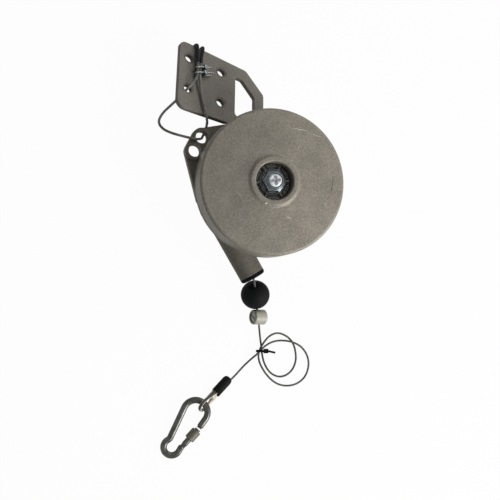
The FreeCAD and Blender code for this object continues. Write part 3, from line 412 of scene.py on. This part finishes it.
def smooth_line(name, points):
    """The mesh line of a NURBS spline whose control points are given."""
    curve = bpy.data.curves.new(name, "CURVE")
    curve.dimensions = "3D"
    spline = curve.splines.new("NURBS")
    spline.points.add(len(points) - 1)
    for target, point in zip(spline.points, points):
        target.co = (*point, 1)
    spline.order_u = 3
    spline.use_endpoint_u = True
    curve.resolution_u = 12
    holder = bpy.data.objects.new(name, curve)
    bpy.context.scene.collection.objects.link(holder)
    bpy.context.view_layer.update()
    mesh = bpy.data.meshes.new_from_object(holder)
    bpy.data.objects.remove(holder)
    return mesh


def wire_finish(name, dark, pale, roughness):
    """Drawn zinc-coated wires: streaky grey, with grime that dulls stretches of the rope."""
    made, tree, shader = new_material(name, pale, 0.25, roughness, **{"Specular IOR Level": 0.3})
    place = add(tree, "ShaderNodeTexCoord").outputs["Object"]
    # read at another place, so that the two noises don't fall together
    elsewhere = add(tree, "ShaderNodeMapping", {"Vector": place, "Location": (1.7, 1.7, 1.7)})
    streak = add(tree, "ShaderNodeTexNoise", {"Vector": place, "Scale": 1 / STREAK,
                                              "Roughness": 0.6})
    grime = add(tree, "ShaderNodeTexNoise", {"Vector": elsewhere, "Scale": 1 / GRIME})
    dulled = add(tree, "ShaderNodeMapRange", {"Value": grime, "From Min": 0.3, "From Max": 0.7,
                                              "To Min": -0.22, "To Max": 0.18})
    tone = add(tree, "ShaderNodeMath", (streak, dulled), operation="ADD")
    paleness = add(tree, "ShaderNodeMapRange", {"Value": tone, "From Min": 0.3, "From Max": 0.7})
    skin = add(tree, "ShaderNodeMix", {0: paleness, 6: linear(dark), 7: linear(pale)},
               data_type="RGBA")
    wires = add(tree, "ShaderNodeBump", {"Height": streak, "Distance": STREAK_DEPTH})
    connect(shader, {"Base Color": skin.outputs[2], "Normal": wires})
    return made


rope_wire = wire_finish("drawn_zinc_wire", "#3F3E3A", "#605F5A", 0.6)
wear("wound_rope", "rope_lead", material=rope_wire)


def lay_rope(name, line, radius, material=rope_wire):
    """A six-strand rope of that radius along a mesh line."""
    return grow(name, line, laid, {"Rope radius": radius, "Strand radius": radius * STRAND_SHARE,
                                   "Lay length": 2 * radius * LAY, "Step": radius * STRAND_STEP},
                material)


# ---- front cover ----------------------------------------------------------------------------
# The cover is the same casting, with a rolled lip round the recess that handling has rubbed
# bright. It has been laid face down on benches: long pale scuffs and one dark scored line.
cover_cast = blasted_casting("bead_blasted_aluminium_cover", "#706B61", "#888277", "#AEA699", 0.5)
# middle across and up, half length and half width (all in mm), degrees, colour, strength
SCRATCHES = (
    (26.0, 50.0, 9.0, 0.45, -8, "#D9D3C6", 0.6),
    (41.0, 45.5, 11.0, 0.35, -14, "#CFC8BB", 0.4),
    (24.5, 33.0, 5.0, 0.35, 62, "#D5CEC1", 0.35),
    (57.5, -3.0, 9.5, 0.5, 80, "#37332E", 0.85),
    (52.5, -17.0, 4.5, 0.4, 65, "#4A453F", 0.6),
    (51.5, -19.0, 5.5, 0.35, 58, "#C9C2B4", 0.35),
    (14.0, -34.0, 3.8, 0.6, -30, "#CFC8BB", 0.4),
    (-8.5, -21.5, 1.6, 0.9, 20, "#E3DDD0", 0.75),
    (-34.0, -13.0, 6.0, 0.35, -40, "#BFB8AB", 0.3),
    (-20.0, 40.0, 8.0, 0.3, 25, "#B7B0A3", 0.25),
    (6.0, -58.0, 7.0, 0.3, 12, "#C9C2B4", 0.3),
)
ellipse_marks(cover_cast, [((across * MM, up * MM, 0), (length * MM, width * MM, 1),
                        (0, 0, math.radians(degrees)), code, strength)
                       for across, up, length, width, degrees, code, strength in SCRATCHES])
wear("front_cover", material=cover_cast)


# ---- adjuster in the recess -----------------------------------------------------------------
# A dark ribbed ring keyed on the shaft, a zinc washer and a self-locking nut, with the bright
# turned end of the shaft standing in the nut's collar. The ring is blackened in hot oxide, a
# dull black that wears off its edges, and the nut's zinc is passivated to a cool blue-grey.
def bright_edges(material, reach, code):
    """Handling has worn the metal's edges to a paler colour within that reach."""
    tree, shader = material.node_tree, shader_of(material)
    skin = shader.inputs["Base Color"].links[0].from_socket
    worn = add(tree, "ShaderNodeMix", {0: edges(tree, reach), 6: skin, 7: linear(code)},
               data_type="RGBA")
    connect(shader, {"Base Color": worn.outputs[2]})


black_oxide = mottled_metal("black_oxide_steel", "#262623", "#3C3C38", 0.4, 1.4 * MM, 0.02 * MM,
                            0.5)
bright_edges(black_oxide, 0.7 * MM, "#B4B7B0")
wear("castle_ring", material=black_oxide)
nut_zinc = mottled_metal("blue_zinc_nut", "#40464A", "#646C71", 0.3, 2.4 * MM, 0.004 * MM, 0.8)
bright_edges(nut_zinc, 0.6 * MM, "#CDD2D4")
wear("lock_washer", "lock_nut", material=nut_zinc)

# the shaft's faced end is painted almost white, a painted glint, with four darker patches round its
# centre
DARK_PATCH_CIRCLE = 2.9 * MM
DARK_PATCH_HALF = (2.9 * MM, 2.4 * MM, 1)
DARK_PATCH_FIRST = 10            # degrees round from the X axis
FACED_CLOUD = 3 * MM
# the near-white tone stands in for the glint of the faced steel: a painted highlight
shaft_end, shaft_tree, shaft_shader = new_material("faced_steel", "#F2F4F4", 0.3, 0.24)
shaft_place = add(shaft_tree, "ShaderNodeTexCoord").outputs["Object"]
shaft_cloud = add(shaft_tree, "ShaderNodeTexNoise",
                  {"Vector": shaft_place, "Scale": 1 / FACED_CLOUD, "Roughness": 0.6})
shaft_tone = add(shaft_tree, "ShaderNodeMapRange", {"Value": shaft_cloud, "From Min": 0.35,
                                                    "From Max": 0.65})
shaft_skin = add(shaft_tree, "ShaderNodeMix",
                 {0: shaft_tone, 6: linear("#D3D8DA"), 7: linear("#FFFFFF")}, data_type="RGBA")
connect(shaft_shader, {"Base Color": shaft_skin.outputs[2]})
dark_patch_angles = [math.radians(DARK_PATCH_FIRST + 90 * k) for k in range(4)]
ellipse_marks(shaft_end, [((DARK_PATCH_CIRCLE * math.cos(a), DARK_PATCH_CIRCLE * math.sin(a), 0), DARK_PATCH_HALF,
                       (0, 0, a), "#6A7073", 0.9) for a in dark_patch_angles])
wear("main_shaft", material=shaft_end)


# ---- nozzle and stop ball -------------------------------------------------------------------
# Moulded black nylon with a fine spark-eroded skin, and black rubber with a soft dull bloom.
# The ball is moulded with a bore, and the rope runs straight through it.
BLOOM = 9 * MM              # size of the patches in which the gloss differs


def moulded(name, colour, roughness, specular, skin_size=None, depth=0.0):
    """Moulded plastic or rubber: one tone, slightly uneven gloss, and a fine skin if it has one."""
    made, tree, shader = new_material(name, colour, 0.0, roughness,
                                      **{"Specular IOR Level": specular})
    place = add(tree, "ShaderNodeTexCoord").outputs["Object"]
    # read at another place, so that the two noises don't fall together
    elsewhere = add(tree, "ShaderNodeMapping", {"Vector": place, "Location": (2.3, 2.3, 2.3)})
    bloom = add(tree, "ShaderNodeTexNoise", {"Vector": elsewhere, "Scale": 1 / BLOOM})
    gloss = add(tree, "ShaderNodeMapRange", {"Value": bloom, "From Min": 0.3, "From Max": 0.7,
                                             "To Min": roughness - 0.06, "To Max": roughness + 0.1})
    connect(shader, {"Roughness": gloss})
    if skin_size:
        skin = add(tree, "ShaderNodeTexNoise", {"Vector": place, "Scale": 1 / skin_size,
                                                "Roughness": 0.6})
        pits = add(tree, "ShaderNodeBump", {"Height": skin, "Distance": depth})
        connect(shader, {"Normal": pits})
    return made


black_nylon = moulded("moulded_black_nylon", "#030304", 0.8, 0.1, 0.6 * MM, 0.01 * MM)
wear("nozzle", "cable_tie", material=black_nylon)
black_rubber = moulded("moulded_black_rubber", "#030405", 0.7, 0.12, 0.5 * MM, 0.01 * MM)


def swept(name, stations, material, close_ends=True):
    """A closed section carried along stations, each a list of points; the skin faces outwards."""
    mesh = bpy.data.meshes.new(name)
    work = bmesh.new()
    rows = [[work.verts.new(p) for p in station] for station in stations]
    count = len(rows[0])
    for one, two in zip(rows, rows[1:]):
        for k in range(count):
            work.faces.new((one[k], one[(k + 1) % count], two[(k + 1) % count], two[k]))
    if close_ends:
        work.faces.new(rows[0])
        work.faces.new(rows[-1])
    bmesh.ops.remove_doubles(work, verts=work.verts, dist=0.01 * MM)
    bmesh.ops.recalc_face_normals(work, faces=work.faces)
    work.to_mesh(mesh)
    work.free()
    mesh.materials.append(material)
    piece = bpy.data.objects.new(name, mesh)
    bpy.context.scene.collection.objects.link(piece)
    for face in mesh.polygons:
        face.use_smooth = True
    return piece


def turned_shape(name, profile, foot, way, sides, material, slant=Vector()):
    """A shape of revolution from a closed profile of (along, radius); slant skews its foot."""
    way = way.normalized()
    side = way.orthogonal().normalized()
    other = way.cross(side)
    top = max(along for along, _ in profile)
    stations = []
    for k in range(sides):
        out = side * math.cos(math.tau * k / sides) + other * math.sin(math.tau * k / sides)
        stations.append([foot + out * radius
                         + way * (along + slant.dot(out) * radius * (1 - along / top))
                         for along, radius in profile])
    return swept(name, stations + stations[:1], material, False)


BALL_R = 14.2 * MM
BALL_CENTRE = Vector((-3.7, -104.7, 14.25)) * MM
BALL_WAY = Vector((0.19, -0.70, -0.69))
BALL_BORE_R = 1.45 * MM
BALL_SIDES = 64
BALL_STEPS = 40
bore_angle = math.asin(BALL_BORE_R / BALL_R)
ball_arc = [bore_angle + (math.pi - 2 * bore_angle) * k / BALL_STEPS for k in range(BALL_STEPS + 1)]
ball_profile = [(-BALL_R * math.cos(a), BALL_R * math.sin(a)) for a in ball_arc]
ball = turned_shape("rubber_ball", ball_profile, BALL_CENTRE, BALL_WAY, BALL_SIDES, black_rubber)
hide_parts("stop_ball")
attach(ball, "rope_end")


# ---- rope clamp -----------------------------------------------------------------------------
# A barrel of natural nylon, moulded with soft edges: cream and waxy, with a zinc screw in one
# end.
def drawn_smooth(material, reach):
    """Rounds the shading over that reach, as tumbling or moulding rounds the real surface."""
    rounded = add(material.node_tree, "ShaderNodeBevel", {"Radius": reach}, samples=16)
    connect(shader_of(material), {"Normal": rounded})


natural_nylon = moulded("natural_nylon", "#99978A", 0.42, 0.3)
drawn_smooth(natural_nylon, 1.0 * MM)
wear("clamp_body", material=natural_nylon)


# ---- tool rope ------------------------------------------------------------------------------
# Two millimetre wire rope out of the nozzle, through ball and clamp, coiled twice and tied,
# and on to the ferrule of its end loop.
TOOL_ROPE_R = 1.0 * MM
TOOL_ROUTE = [
    (-0.013, -0.0843, 0.034), (-0.0103, -0.0892, 0.0335), (-0.0083, -0.0936, 0.0304),
    (-0.0067, -0.0977, 0.0252), (-0.0052, -0.1014, 0.0196), (-0.0036, -0.106, 0.0143),
    (-0.002, -0.1122, 0.0109), (-0.0006, -0.119, 0.0093), (0.0006, -0.1263, 0.0088),
    (0.002, -0.134, 0.0066), (0.0034, -0.1413, 0.0032), (0.0047, -0.1486, 0.0013),
    (0.0056, -0.1552, 0.0014), (0.00595, -0.1616, 0.0019), (0.0082, -0.1716, 0.00115),
    (0.0137, -0.181, 0.00105), (0.022, -0.1858, 0.00105), (0.0304, -0.1848, 0.0011),
    (0.0376, -0.1792, 0.00105), (0.0413, -0.1706, 0.00105), (0.0412, -0.1622, 0.0011),
    (0.039, -0.153, 0.00105), (0.0329, -0.1456, 0.00105), (0.0224, -0.1414, 0.0011),
    (0.0134, -0.1452, 0.0016), (0.0082, -0.1509, 0.0034), (0.0048, -0.1556, 0.0039),
    (0.003, -0.1606, 0.0021), (0.0025, -0.1664, 0.0011), (0.005, -0.1746, 0.00105),
    (0.0126, -0.1858, 0.0011), (0.0216, -0.1928, 0.00105), (0.032, -0.195, 0.0011),
    (0.0426, -0.1928, 0.00105), (0.051, -0.186, 0.0011), (0.0548, -0.1754, 0.00105),
    (0.0536, -0.1652, 0.0014), (0.0476, -0.1568, 0.0029), (0.041, -0.1528, 0.0041),
    (0.0346, -0.1504, 0.004), (0.0248, -0.1494, 0.0019), (0.0166, -0.1509, 0.0025),
    (0.0098, -0.154, 0.0053), (0.0049, -0.158, 0.006), (0.0015, -0.1622, 0.005),
    (-0.005, -0.1678, 0.0024), (-0.012, -0.1743, 0.0012), (-0.0182, -0.1806, 0.0024),
    (-0.023, -0.1852, 0.0042), (-0.028, -0.18955, 0.0051),
]

tool_line = smooth_line("tool_rope_line", TOOL_ROUTE)
tool_rope = lay_rope("tool_rope_strands", tool_line, TOOL_ROPE_R)
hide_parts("tool_rope")
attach(tool_rope, "rope_end")


# ---- thimble, ferrule and end loop ----------------------------------------------------------
# The rope's end turns round a thimble pressed from zinc-plated sheet and is closed by an
# aluminium ferrule. The thimble's trough has rolled edges and two straight cheeks. Its zinc is
# matt and warm, and the ferrule keeps the brighter, pitted skin of pressed aluminium.
joints = {joint["name"]: joint for joint in frame["joints"]}
EYE = Vector(joints["hook_swing"]["pos_m"])
EYE_TILT = math.radians(31.5)           # the loop leans out of the rope's upright plane
ROPE_BACK = Vector((0.6984, 0.7157, -0.065)).normalized()
level = ROPE_BACK.cross(Vector((0, 0, 1))).normalized()
eye_normal = level * math.cos(EYE_TILT) + level.cross(ROPE_BACK) * math.sin(EYE_TILT)
eye_across = eye_normal.cross(ROPE_BACK)
LOOP_R = 7.3 * MM
LOOP_STEPS = 28
LEG_SLOPE = math.radians(18)
LEG_GAP = 1.15 * MM         # from the middle line to the rope where the legs meet


def eye_point(x, y):
    """A place in the eye's plane: x along the rope from the eye, y across it."""
    return EYE + ROPE_BACK * x + eye_across * y


def loop_line(leg_end=math.inf):
    """Points of the loop in the eye's plane: a leg, the round of the eye, and the other leg."""
    bend = math.pi / 2 - LEG_SLOPE
    start = (LOOP_R * math.cos(bend), LOOP_R * math.sin(bend))
    reach = (start[1] - LEG_GAP) / math.tan(LEG_SLOPE)
    leg = [(start[0] + t * reach, start[1] - t * reach * math.tan(LEG_SLOPE))
           for t in (1.0, 0.8, 0.6, 0.4, 0.2)]
    leg = [p for p in leg if p[0] <= leg_end]
    turns = [bend + (math.tau - 2 * bend) * k / LOOP_STEPS for k in range(LOOP_STEPS + 1)]
    arc = [(LOOP_R * math.cos(turn), LOOP_R * math.sin(turn)) for turn in turns]
    return leg + arc + [(x, -y) for x, y in reversed(leg)]


def line_mesh(name, points):
    """A mesh of one open line."""
    mesh = bpy.data.meshes.new(name)
    mesh.from_pydata(points, [(k, k + 1) for k in range(len(points) - 1)], [])
    return mesh


LOOP_END = 22.5 * MM        # the loop's two legs end this far along, inside the ferrule
loop_points = [(LOOP_END, LEG_GAP)] + loop_line() + [(LOOP_END, -LEG_GAP)]
eye_line = line_mesh("eye_line", [eye_point(*p) for p in loop_points])
eye_rope = lay_rope("eye_rope_strands", eye_line, TOOL_ROPE_R)
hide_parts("eye_rope")
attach(eye_rope, "rope_end")

# the trough's section from its rim to its root: (outwards in mm, share of its half width)
TROUGH_SKIN = [(0.4, 1.0), (-0.7, 0.9), (-1.3, 0.6), (-1.5, 0.2)]
TROUGH_HOLLOW = [(0.4, 0.72), (-0.5, 0.64), (-0.9, 0.36), (-0.95, 0.12)]
ROUND_HALF = 1.6 * MM       # half width round the eye, where the hook's wire turns
CHEEK_HALF = 2.7 * MM       # half width of the cheeks beside the sleeve
CHEEK_START = 6.5 * MM      # the trough widens from here
CHEEK_RISE = 4.5 * MM       # and over this length
LOOP_INSIDE = 2 * MM        # a place inside the loop, which the trough turns its back to
TROUGH_END = 17 * MM


def trough_section(half):
    """The thimble's section as (outwards, sideways): a trough for the rope, half wide each way."""
    skin = [(u * MM, w * half) for u, w in TROUGH_SKIN]
    hollow = [(u * MM, w * half) for u, w in TROUGH_HOLLOW]
    return (skin + [(u, -w) for u, w in reversed(skin)]
            + [(u, -w) for u, w in hollow] + hollow[::-1])


thimble_line = loop_line(TROUGH_END)
thimble_stations = []
for k, (x, y) in enumerate(thimble_line):
    before = thimble_line[max(k - 1, 0)]
    after = thimble_line[min(k + 1, len(thimble_line) - 1)]
    run = Vector((after[0] - before[0], after[1] - before[1])).normalized()
    outward = Vector((run.y, -run.x))
    if outward.dot(Vector((x - LOOP_INSIDE, y))) < 0:
        outward.negate()
    widened = min(max((x - CHEEK_START) / CHEEK_RISE, 0), 1)
    half = ROUND_HALF + (CHEEK_HALF - ROUND_HALF) * widened
    thimble_stations.append([eye_point(x + outward.x * u, y + outward.y * u) + eye_normal * w
                             for u, w in trough_section(half)])
thimble_zinc = mottled_metal("matt_zinc_sheet", "#A19A8B", "#BDB6A7", 0.48, 1.6 * MM, 0.01 * MM,
                             0.4)
thimble = swept("pressed_thimble", thimble_stations, thimble_zinc)
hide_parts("thimble")
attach(thimble, "rope_end")

# the cheeks are squeezed together in front of the ferrule and close the thimble's point
POINT_START, POINT_END = 8.6 * MM, 17.5 * MM
POINT_STEPS = 8
POINT_BOW = 1.6 * MM        # how far its front bulges towards the eye
POINT_HALF = CHEEK_HALF * 0.8
point_stations = []
for k in range(POINT_STEPS + 1):
    done = k / POINT_STEPS
    x = POINT_START + (POINT_END - POINT_START) * done
    half = LOOP_R / math.cos(LEG_SLOPE) - x * math.tan(LEG_SLOPE) - TOOL_ROPE_R
    row = [(x + POINT_BOW * (1 - done) * (1 - math.cos(math.pi / 2 * t)), half * t)
           for t in (-1, -0.5, 0, 0.5, 1)]
    point_stations.append([eye_point(*p) + eye_normal * POINT_HALF for p in row]
                          + [eye_point(*p) - eye_normal * POINT_HALF for p in reversed(row)])
thimble_point = swept("thimble_point", point_stations, thimble_zinc)
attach(thimble_point, "rope_end")
wear("rope_ferrule", material=mottled_metal("pressed_aluminium", "#8E8E8A", "#B9B9B5", 0.35,
                                            1.2 * MM, 0.02 * MM))

# a rubber sleeve over the ferrule, drawn in at the rope and trimmed at a slant at the thimble;
# its profile is in shares of its length and radius
SLEEVE_START, SLEEVE_END, SLEEVE_R = 15.4 * MM, 35.6 * MM, 4.75 * MM
SLEEVE_SLANT = 0.3
SLEEVE_SIDES = 40
sleeve_outside = [(0.0, 0.93), (0.02, 1.0), (0.8, 1.0), (0.87, 0.96), (0.93, 0.86), (0.97, 0.7),
                  (1.0, 0.45)]
sleeve_inside = [(1.0, 0.25), (0.9, 0.25), (0.86, 0.72), (0.0, 0.76)]
sleeve_profile = [(a * (SLEEVE_END - SLEEVE_START), r * SLEEVE_R)
                  for a, r in sleeve_outside + sleeve_inside]
end_sleeve = turned_shape("rope_end_sleeve", sleeve_profile, eye_point(SLEEVE_START, 0), ROPE_BACK,
                          SLEEVE_SIDES, black_rubber, eye_across * SLEEVE_SLANT)
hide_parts("rope_sleeve")
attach(end_sleeve, "rope_end")


# ---- screw-lock hook ------------------------------------------------------------------------
# Bent from round bar, barrel-polished and zinc plated: a dark mirror with soft long highlights.
# The gate swings on a pin in the slotted eye and a knurled sleeve screws along it. The knurl
# breaks the light up, so the sleeve looks browner and duller than the bar.
BUFFED_CLOUD = 6 * MM
polished, bar_tree, bar_shader = new_material("barrel_polished_steel", "#5C5C58", 1.0, 0.3)
bar_place = add(bar_tree, "ShaderNodeTexCoord").outputs["Object"]
buffed = add(bar_tree, "ShaderNodeTexNoise", {"Vector": bar_place, "Scale": 1 / BUFFED_CLOUD})
bar_tone = add(bar_tree, "ShaderNodeMapRange", {"Value": buffed, "From Min": 0.35,
                                                "From Max": 0.65})
bar_skin = add(bar_tree, "ShaderNodeMix", {0: bar_tone, 6: linear("#3E3E3B"), 7: linear("#50504C")},
               data_type="RGBA")
bar_gloss = add(bar_tree, "ShaderNodeMapRange", {"Value": buffed, "From Min": 0.3, "From Max": 0.7,
                                                 "To Min": 0.36, "To Max": 0.26})
connect(bar_shader, {"Base Color": bar_skin.outputs[2], "Roughness": bar_gloss})
drawn_smooth(polished, 1.3 * MM)
wear("hook_body", "hook_gate", "gate_pin", material=polished)

# the knurl: two sets of threads that cross, pressed into a bar with chamfered ends
turned, turned_size = node_tree("turned_bar", ["Radius", "Length", "Sides", "Rows", "Depth",
                                               "Pitch", "Starts", "Crossing", "Chamfer"])
blank = add(turned, "GeometryNodeMeshCylinder",
            {"Vertices": turned_size["Sides"], "Side Segments": turned_size["Rows"],
             "Radius": turned_size["Radius"], "Depth": turned_size["Length"]}, fill_type="NGON")
where = add(turned, "ShaderNodeSeparateXYZ", (add(turned, "GeometryNodeInputPosition"),)).outputs
turned_known = {socket.name: socket for socket in (*turned_size, *where)}
for result, operation, *values in (("middle", "MULTIPLY", "Length", 0.5),
                                   ("height", "ADD", "Z", "middle"),
                                   ("angle", "ARCTAN2", "Y", "X"),
                                   ("around", "DIVIDE", "angle", math.tau),
                                   ("start", "MULTIPLY", "around", "Starts"),
                                   ("rise", "DIVIDE", "height", "Pitch"),
                                   ("right phase", "SUBTRACT", "rise", "start"),
                                   ("right wave", "PINGPONG", "right phase", 0.5),
                                   ("right hand", "MULTIPLY", "right wave", 2.0),
                                   ("left phase", "ADD", "rise", "start"),
                                   ("left wave", "PINGPONG", "left phase", 0.5),
                                   ("left hand", "MULTIPLY", "left wave", 2.0),
                                   ("deeper", "MAXIMUM", "right hand", "left hand"),
                                   ("extra", "SUBTRACT", "deeper", "right hand"),
                                   ("crossed", "MULTIPLY", "extra", "Crossing"),
                                   ("groove", "ADD", "right hand", "crossed"),
                                   ("to top", "SUBTRACT", "Length", "height"),
                                   ("to end", "MINIMUM", "height", "to top"),
                                   ("bevel", "SUBTRACT", "Chamfer", "to end"),
                                   ("cut off", "MAXIMUM", "bevel", 0.0),
                                   ("cut in", "MULTIPLY", "groove", "Depth"),
                                   ("depth", "ADD", "cut in", "cut off"),
                                   ("share", "DIVIDE", "depth", "Radius"),
                                   ("shrink", "MULTIPLY", "share", -1.0),
                                   ("in x", "MULTIPLY", "X", "shrink"),
                                   ("in y", "MULTIPLY", "Y", "shrink")):
    turned_known[result] = add(turned, "ShaderNodeMath", [turned_known.get(v, v) for v in values],
                               operation=operation)
inwards = add(turned, "ShaderNodeCombineXYZ", (turned_known["in x"], turned_known["in y"]))
cut = add(turned, "GeometryNodeSetPosition", {"Geometry": blank, "Offset": inwards})
end_tree(turned, turned_size, cut, smooth=False)


def place_along(piece, start, end):
    """Moves a bar drawn along Z about the origin so that it runs from start to end."""
    turn = (end - start).normalized().to_track_quat("Z", "Y").to_matrix().to_4x4()
    piece.data.transform(Matrix.Translation((start + end) / 2) @ turn)


gate_pivot = Vector(joints["gate_open"]["pos_m"])
gate_way = -Vector(joints["lock_sleeve_run"]["axis"]).normalized()
LOCK_START, LOCK_END = 12.29 * MM, 23.49 * MM   # along the gate from its pivot
sleeve_steel = mottled_metal("zinc_plated_knurl", "#48463F", "#605D53", 0.48, 1.5 * MM, 0.006 * MM,
                             0.7)
sleeve = grow("knurled_sleeve", bpy.data.meshes.new("none"), turned,
              {"Radius": 4.95 * MM, "Length": LOCK_END - LOCK_START, "Sides": 160.0, "Rows": 44.0,
               "Depth": 0.1 * MM, "Pitch": 1.3 * MM, "Starts": 24.0, "Crossing": 1.0,
               "Chamfer": 0.6 * MM}, sleeve_steel)

# its bore runs right through, so that the gate and the hook's nose fit in it
LOCK_BORE_R = 2.96 * MM
bored = bmesh.new()
bored.from_mesh(sleeve.data)
bar_ends = [face for face in bored.faces if len(face.verts) > 4]
outer = [sorted(face.verts, key=lambda vert: vert.index) for face in bar_ends]
inner = [[bored.verts.new((*(vert.co.xy.normalized() * LOCK_BORE_R), vert.co.z)) for vert in rim]
         for rim in outer]
wall = [outer[0], inner[0], inner[1], outer[1]]
for one, two in zip(wall, wall[1:]):
    for k in range(len(one)):
        bored.faces.new((one[k - 1], one[k], two[k], two[k - 1]), bar_ends[0])
bmesh.ops.delete(bored, geom=bar_ends, context="FACES_ONLY")
bmesh.ops.recalc_face_normals(bored, faces=bored.faces)
bored.to_mesh(sleeve.data)
bored.free()
place_along(sleeve, gate_pivot + gate_way * LOCK_START, gate_pivot + gate_way * LOCK_END)
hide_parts("hook_lock_sleeve")
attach(sleeve, "lock_sleeve")


# ---- safety rope ----------------------------------------------------------------------------
# A second, thicker wire rope, brighter than the first. It is clipped to itself on the plate,
# goes through a plate hole and behind the plate to the ear, and comes back over the plate's
# near edge. Its two ends are bent over the far edge, in heat-shrink tube, dull black and tight.
SAFETY_ROPE_R = 1.3 * MM
SAFETY_ROUTE = [
    (-0.06858, 0.12737, 0.01964), (-0.06783, 0.13575, 0.01519), (-0.06379, 0.13956, 0.02398),
    (-0.0645, 0.12936, 0.02814), (-0.06522, 0.11698, 0.03609), (-0.06746, 0.10266, 0.04333),
    (-0.07049, 0.09743, 0.04605), (-0.07474, 0.09274, 0.04956), (-0.08245, 0.08417, 0.04381),
    (-0.08837, 0.07773, 0.04744), (-0.0932, 0.0732, 0.042), (-0.1004, 0.0664, 0.036),
    (-0.1038, 0.0586, 0.0328), (-0.0996, 0.052, 0.0344), (-0.092, 0.0476, 0.0392),
    (-0.0834, 0.0444, 0.0446), (-0.075, 0.042, 0.0478), (-0.0676, 0.0412, 0.047),
    (-0.0629, 0.0429, 0.0406), (-0.0608, 0.0456, 0.0338), (-0.0584, 0.0496, 0.0296),
    (-0.0562, 0.0554, 0.0304), (-0.05685, 0.05845, 0.03548), (-0.05836, 0.0568, 0.04554),
    (-0.06103, 0.06214, 0.05616), (-0.06222, 0.0709, 0.05244), (-0.06358, 0.07966, 0.0489),
    (-0.06494, 0.09162, 0.04483), (-0.0649, 0.10191, 0.04248), (-0.06267, 0.11623, 0.03524),
    (-0.05995, 0.12784, 0.02671), (-0.05721, 0.13754, 0.02183), (-0.06108, 0.13368, 0.01298),
    (-0.06227, 0.12553, 0.01754),
]

safety_line = smooth_line("safety_rope_line", SAFETY_ROUTE)
safety_path = [v.co.copy() for v in safety_line.vertices]
bright_wire = wire_finish("bright_zinc_wire", "#5A5A56", "#8B8B85", 0.55)
safety_rope = lay_rope("safety_rope_strands", safety_line, SAFETY_ROPE_R, bright_wire)
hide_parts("safety_rope")
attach(safety_rope, "housing")

SHEATH_R = 1.6 * MM
SHEATH_FOOT = 4.5 * MM      # the sheaths start this far down the plate from its first hole
SHEATH_SIDES = 14
SHEATH_POINTS = 20          # each sheath runs over at least so many of the rope's points
RIPPLE = 0.03 * MM
RIPPLE_TURN = 1.9           # radians of the ripple's wave from one point to the next
shrink_tube = moulded("polyolefin_heat_shrink", "#04050A", 0.5, 0.15, 0.8 * MM, 0.02 * MM)


def carried_rings(points, radii):
    """Rings of points round a line, turned as little as the line allows."""
    rings = []
    side = (points[1] - points[0]).orthogonal().normalized()
    for k, (point, radius) in enumerate(zip(points, radii)):
        run = (points[min(k + 1, len(points) - 1)] - points[max(k - 1, 0)]).normalized()
        side = (side - run * side.dot(run)).normalized()
        other = run.cross(side)
        turns = [math.tau * j / SHEATH_SIDES for j in range(SHEATH_SIDES)]
        rings.append([point + (side * math.cos(turn) + other * math.sin(turn)) * radius
                      for turn in turns])
    return rings


for end_name, stretch in (("upper_sheath", safety_path), ("lower_sheath", safety_path[::-1])):
    covered = []
    for point in stretch:
        down = (point - PLATE_ORIGIN).dot(PLATE_DOWN)
        if down > SHEATH_FOOT and len(covered) > SHEATH_POINTS:
            break
        covered.append(point)
    ripple = [SHEATH_R + RIPPLE * math.sin(k * RIPPLE_TURN) for k in range(len(covered))]
    sheath = swept(end_name, carried_rings(covered, ripple), shrink_tube)
    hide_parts("safety_rope_sleeves")
    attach(sheath, "housing")


# ---- rope clips -----------------------------------------------------------------------------
# Two zinc-plated clips: a threaded U of wire, a small cast saddle and two hexagon nuts. They
# are the same pale and blue-grey zinc as the screws and the adjuster's nut.
wear("clip_saddles", "clip_ubolts", material=zinc)
wear("clip_nuts", material=nut_zinc)
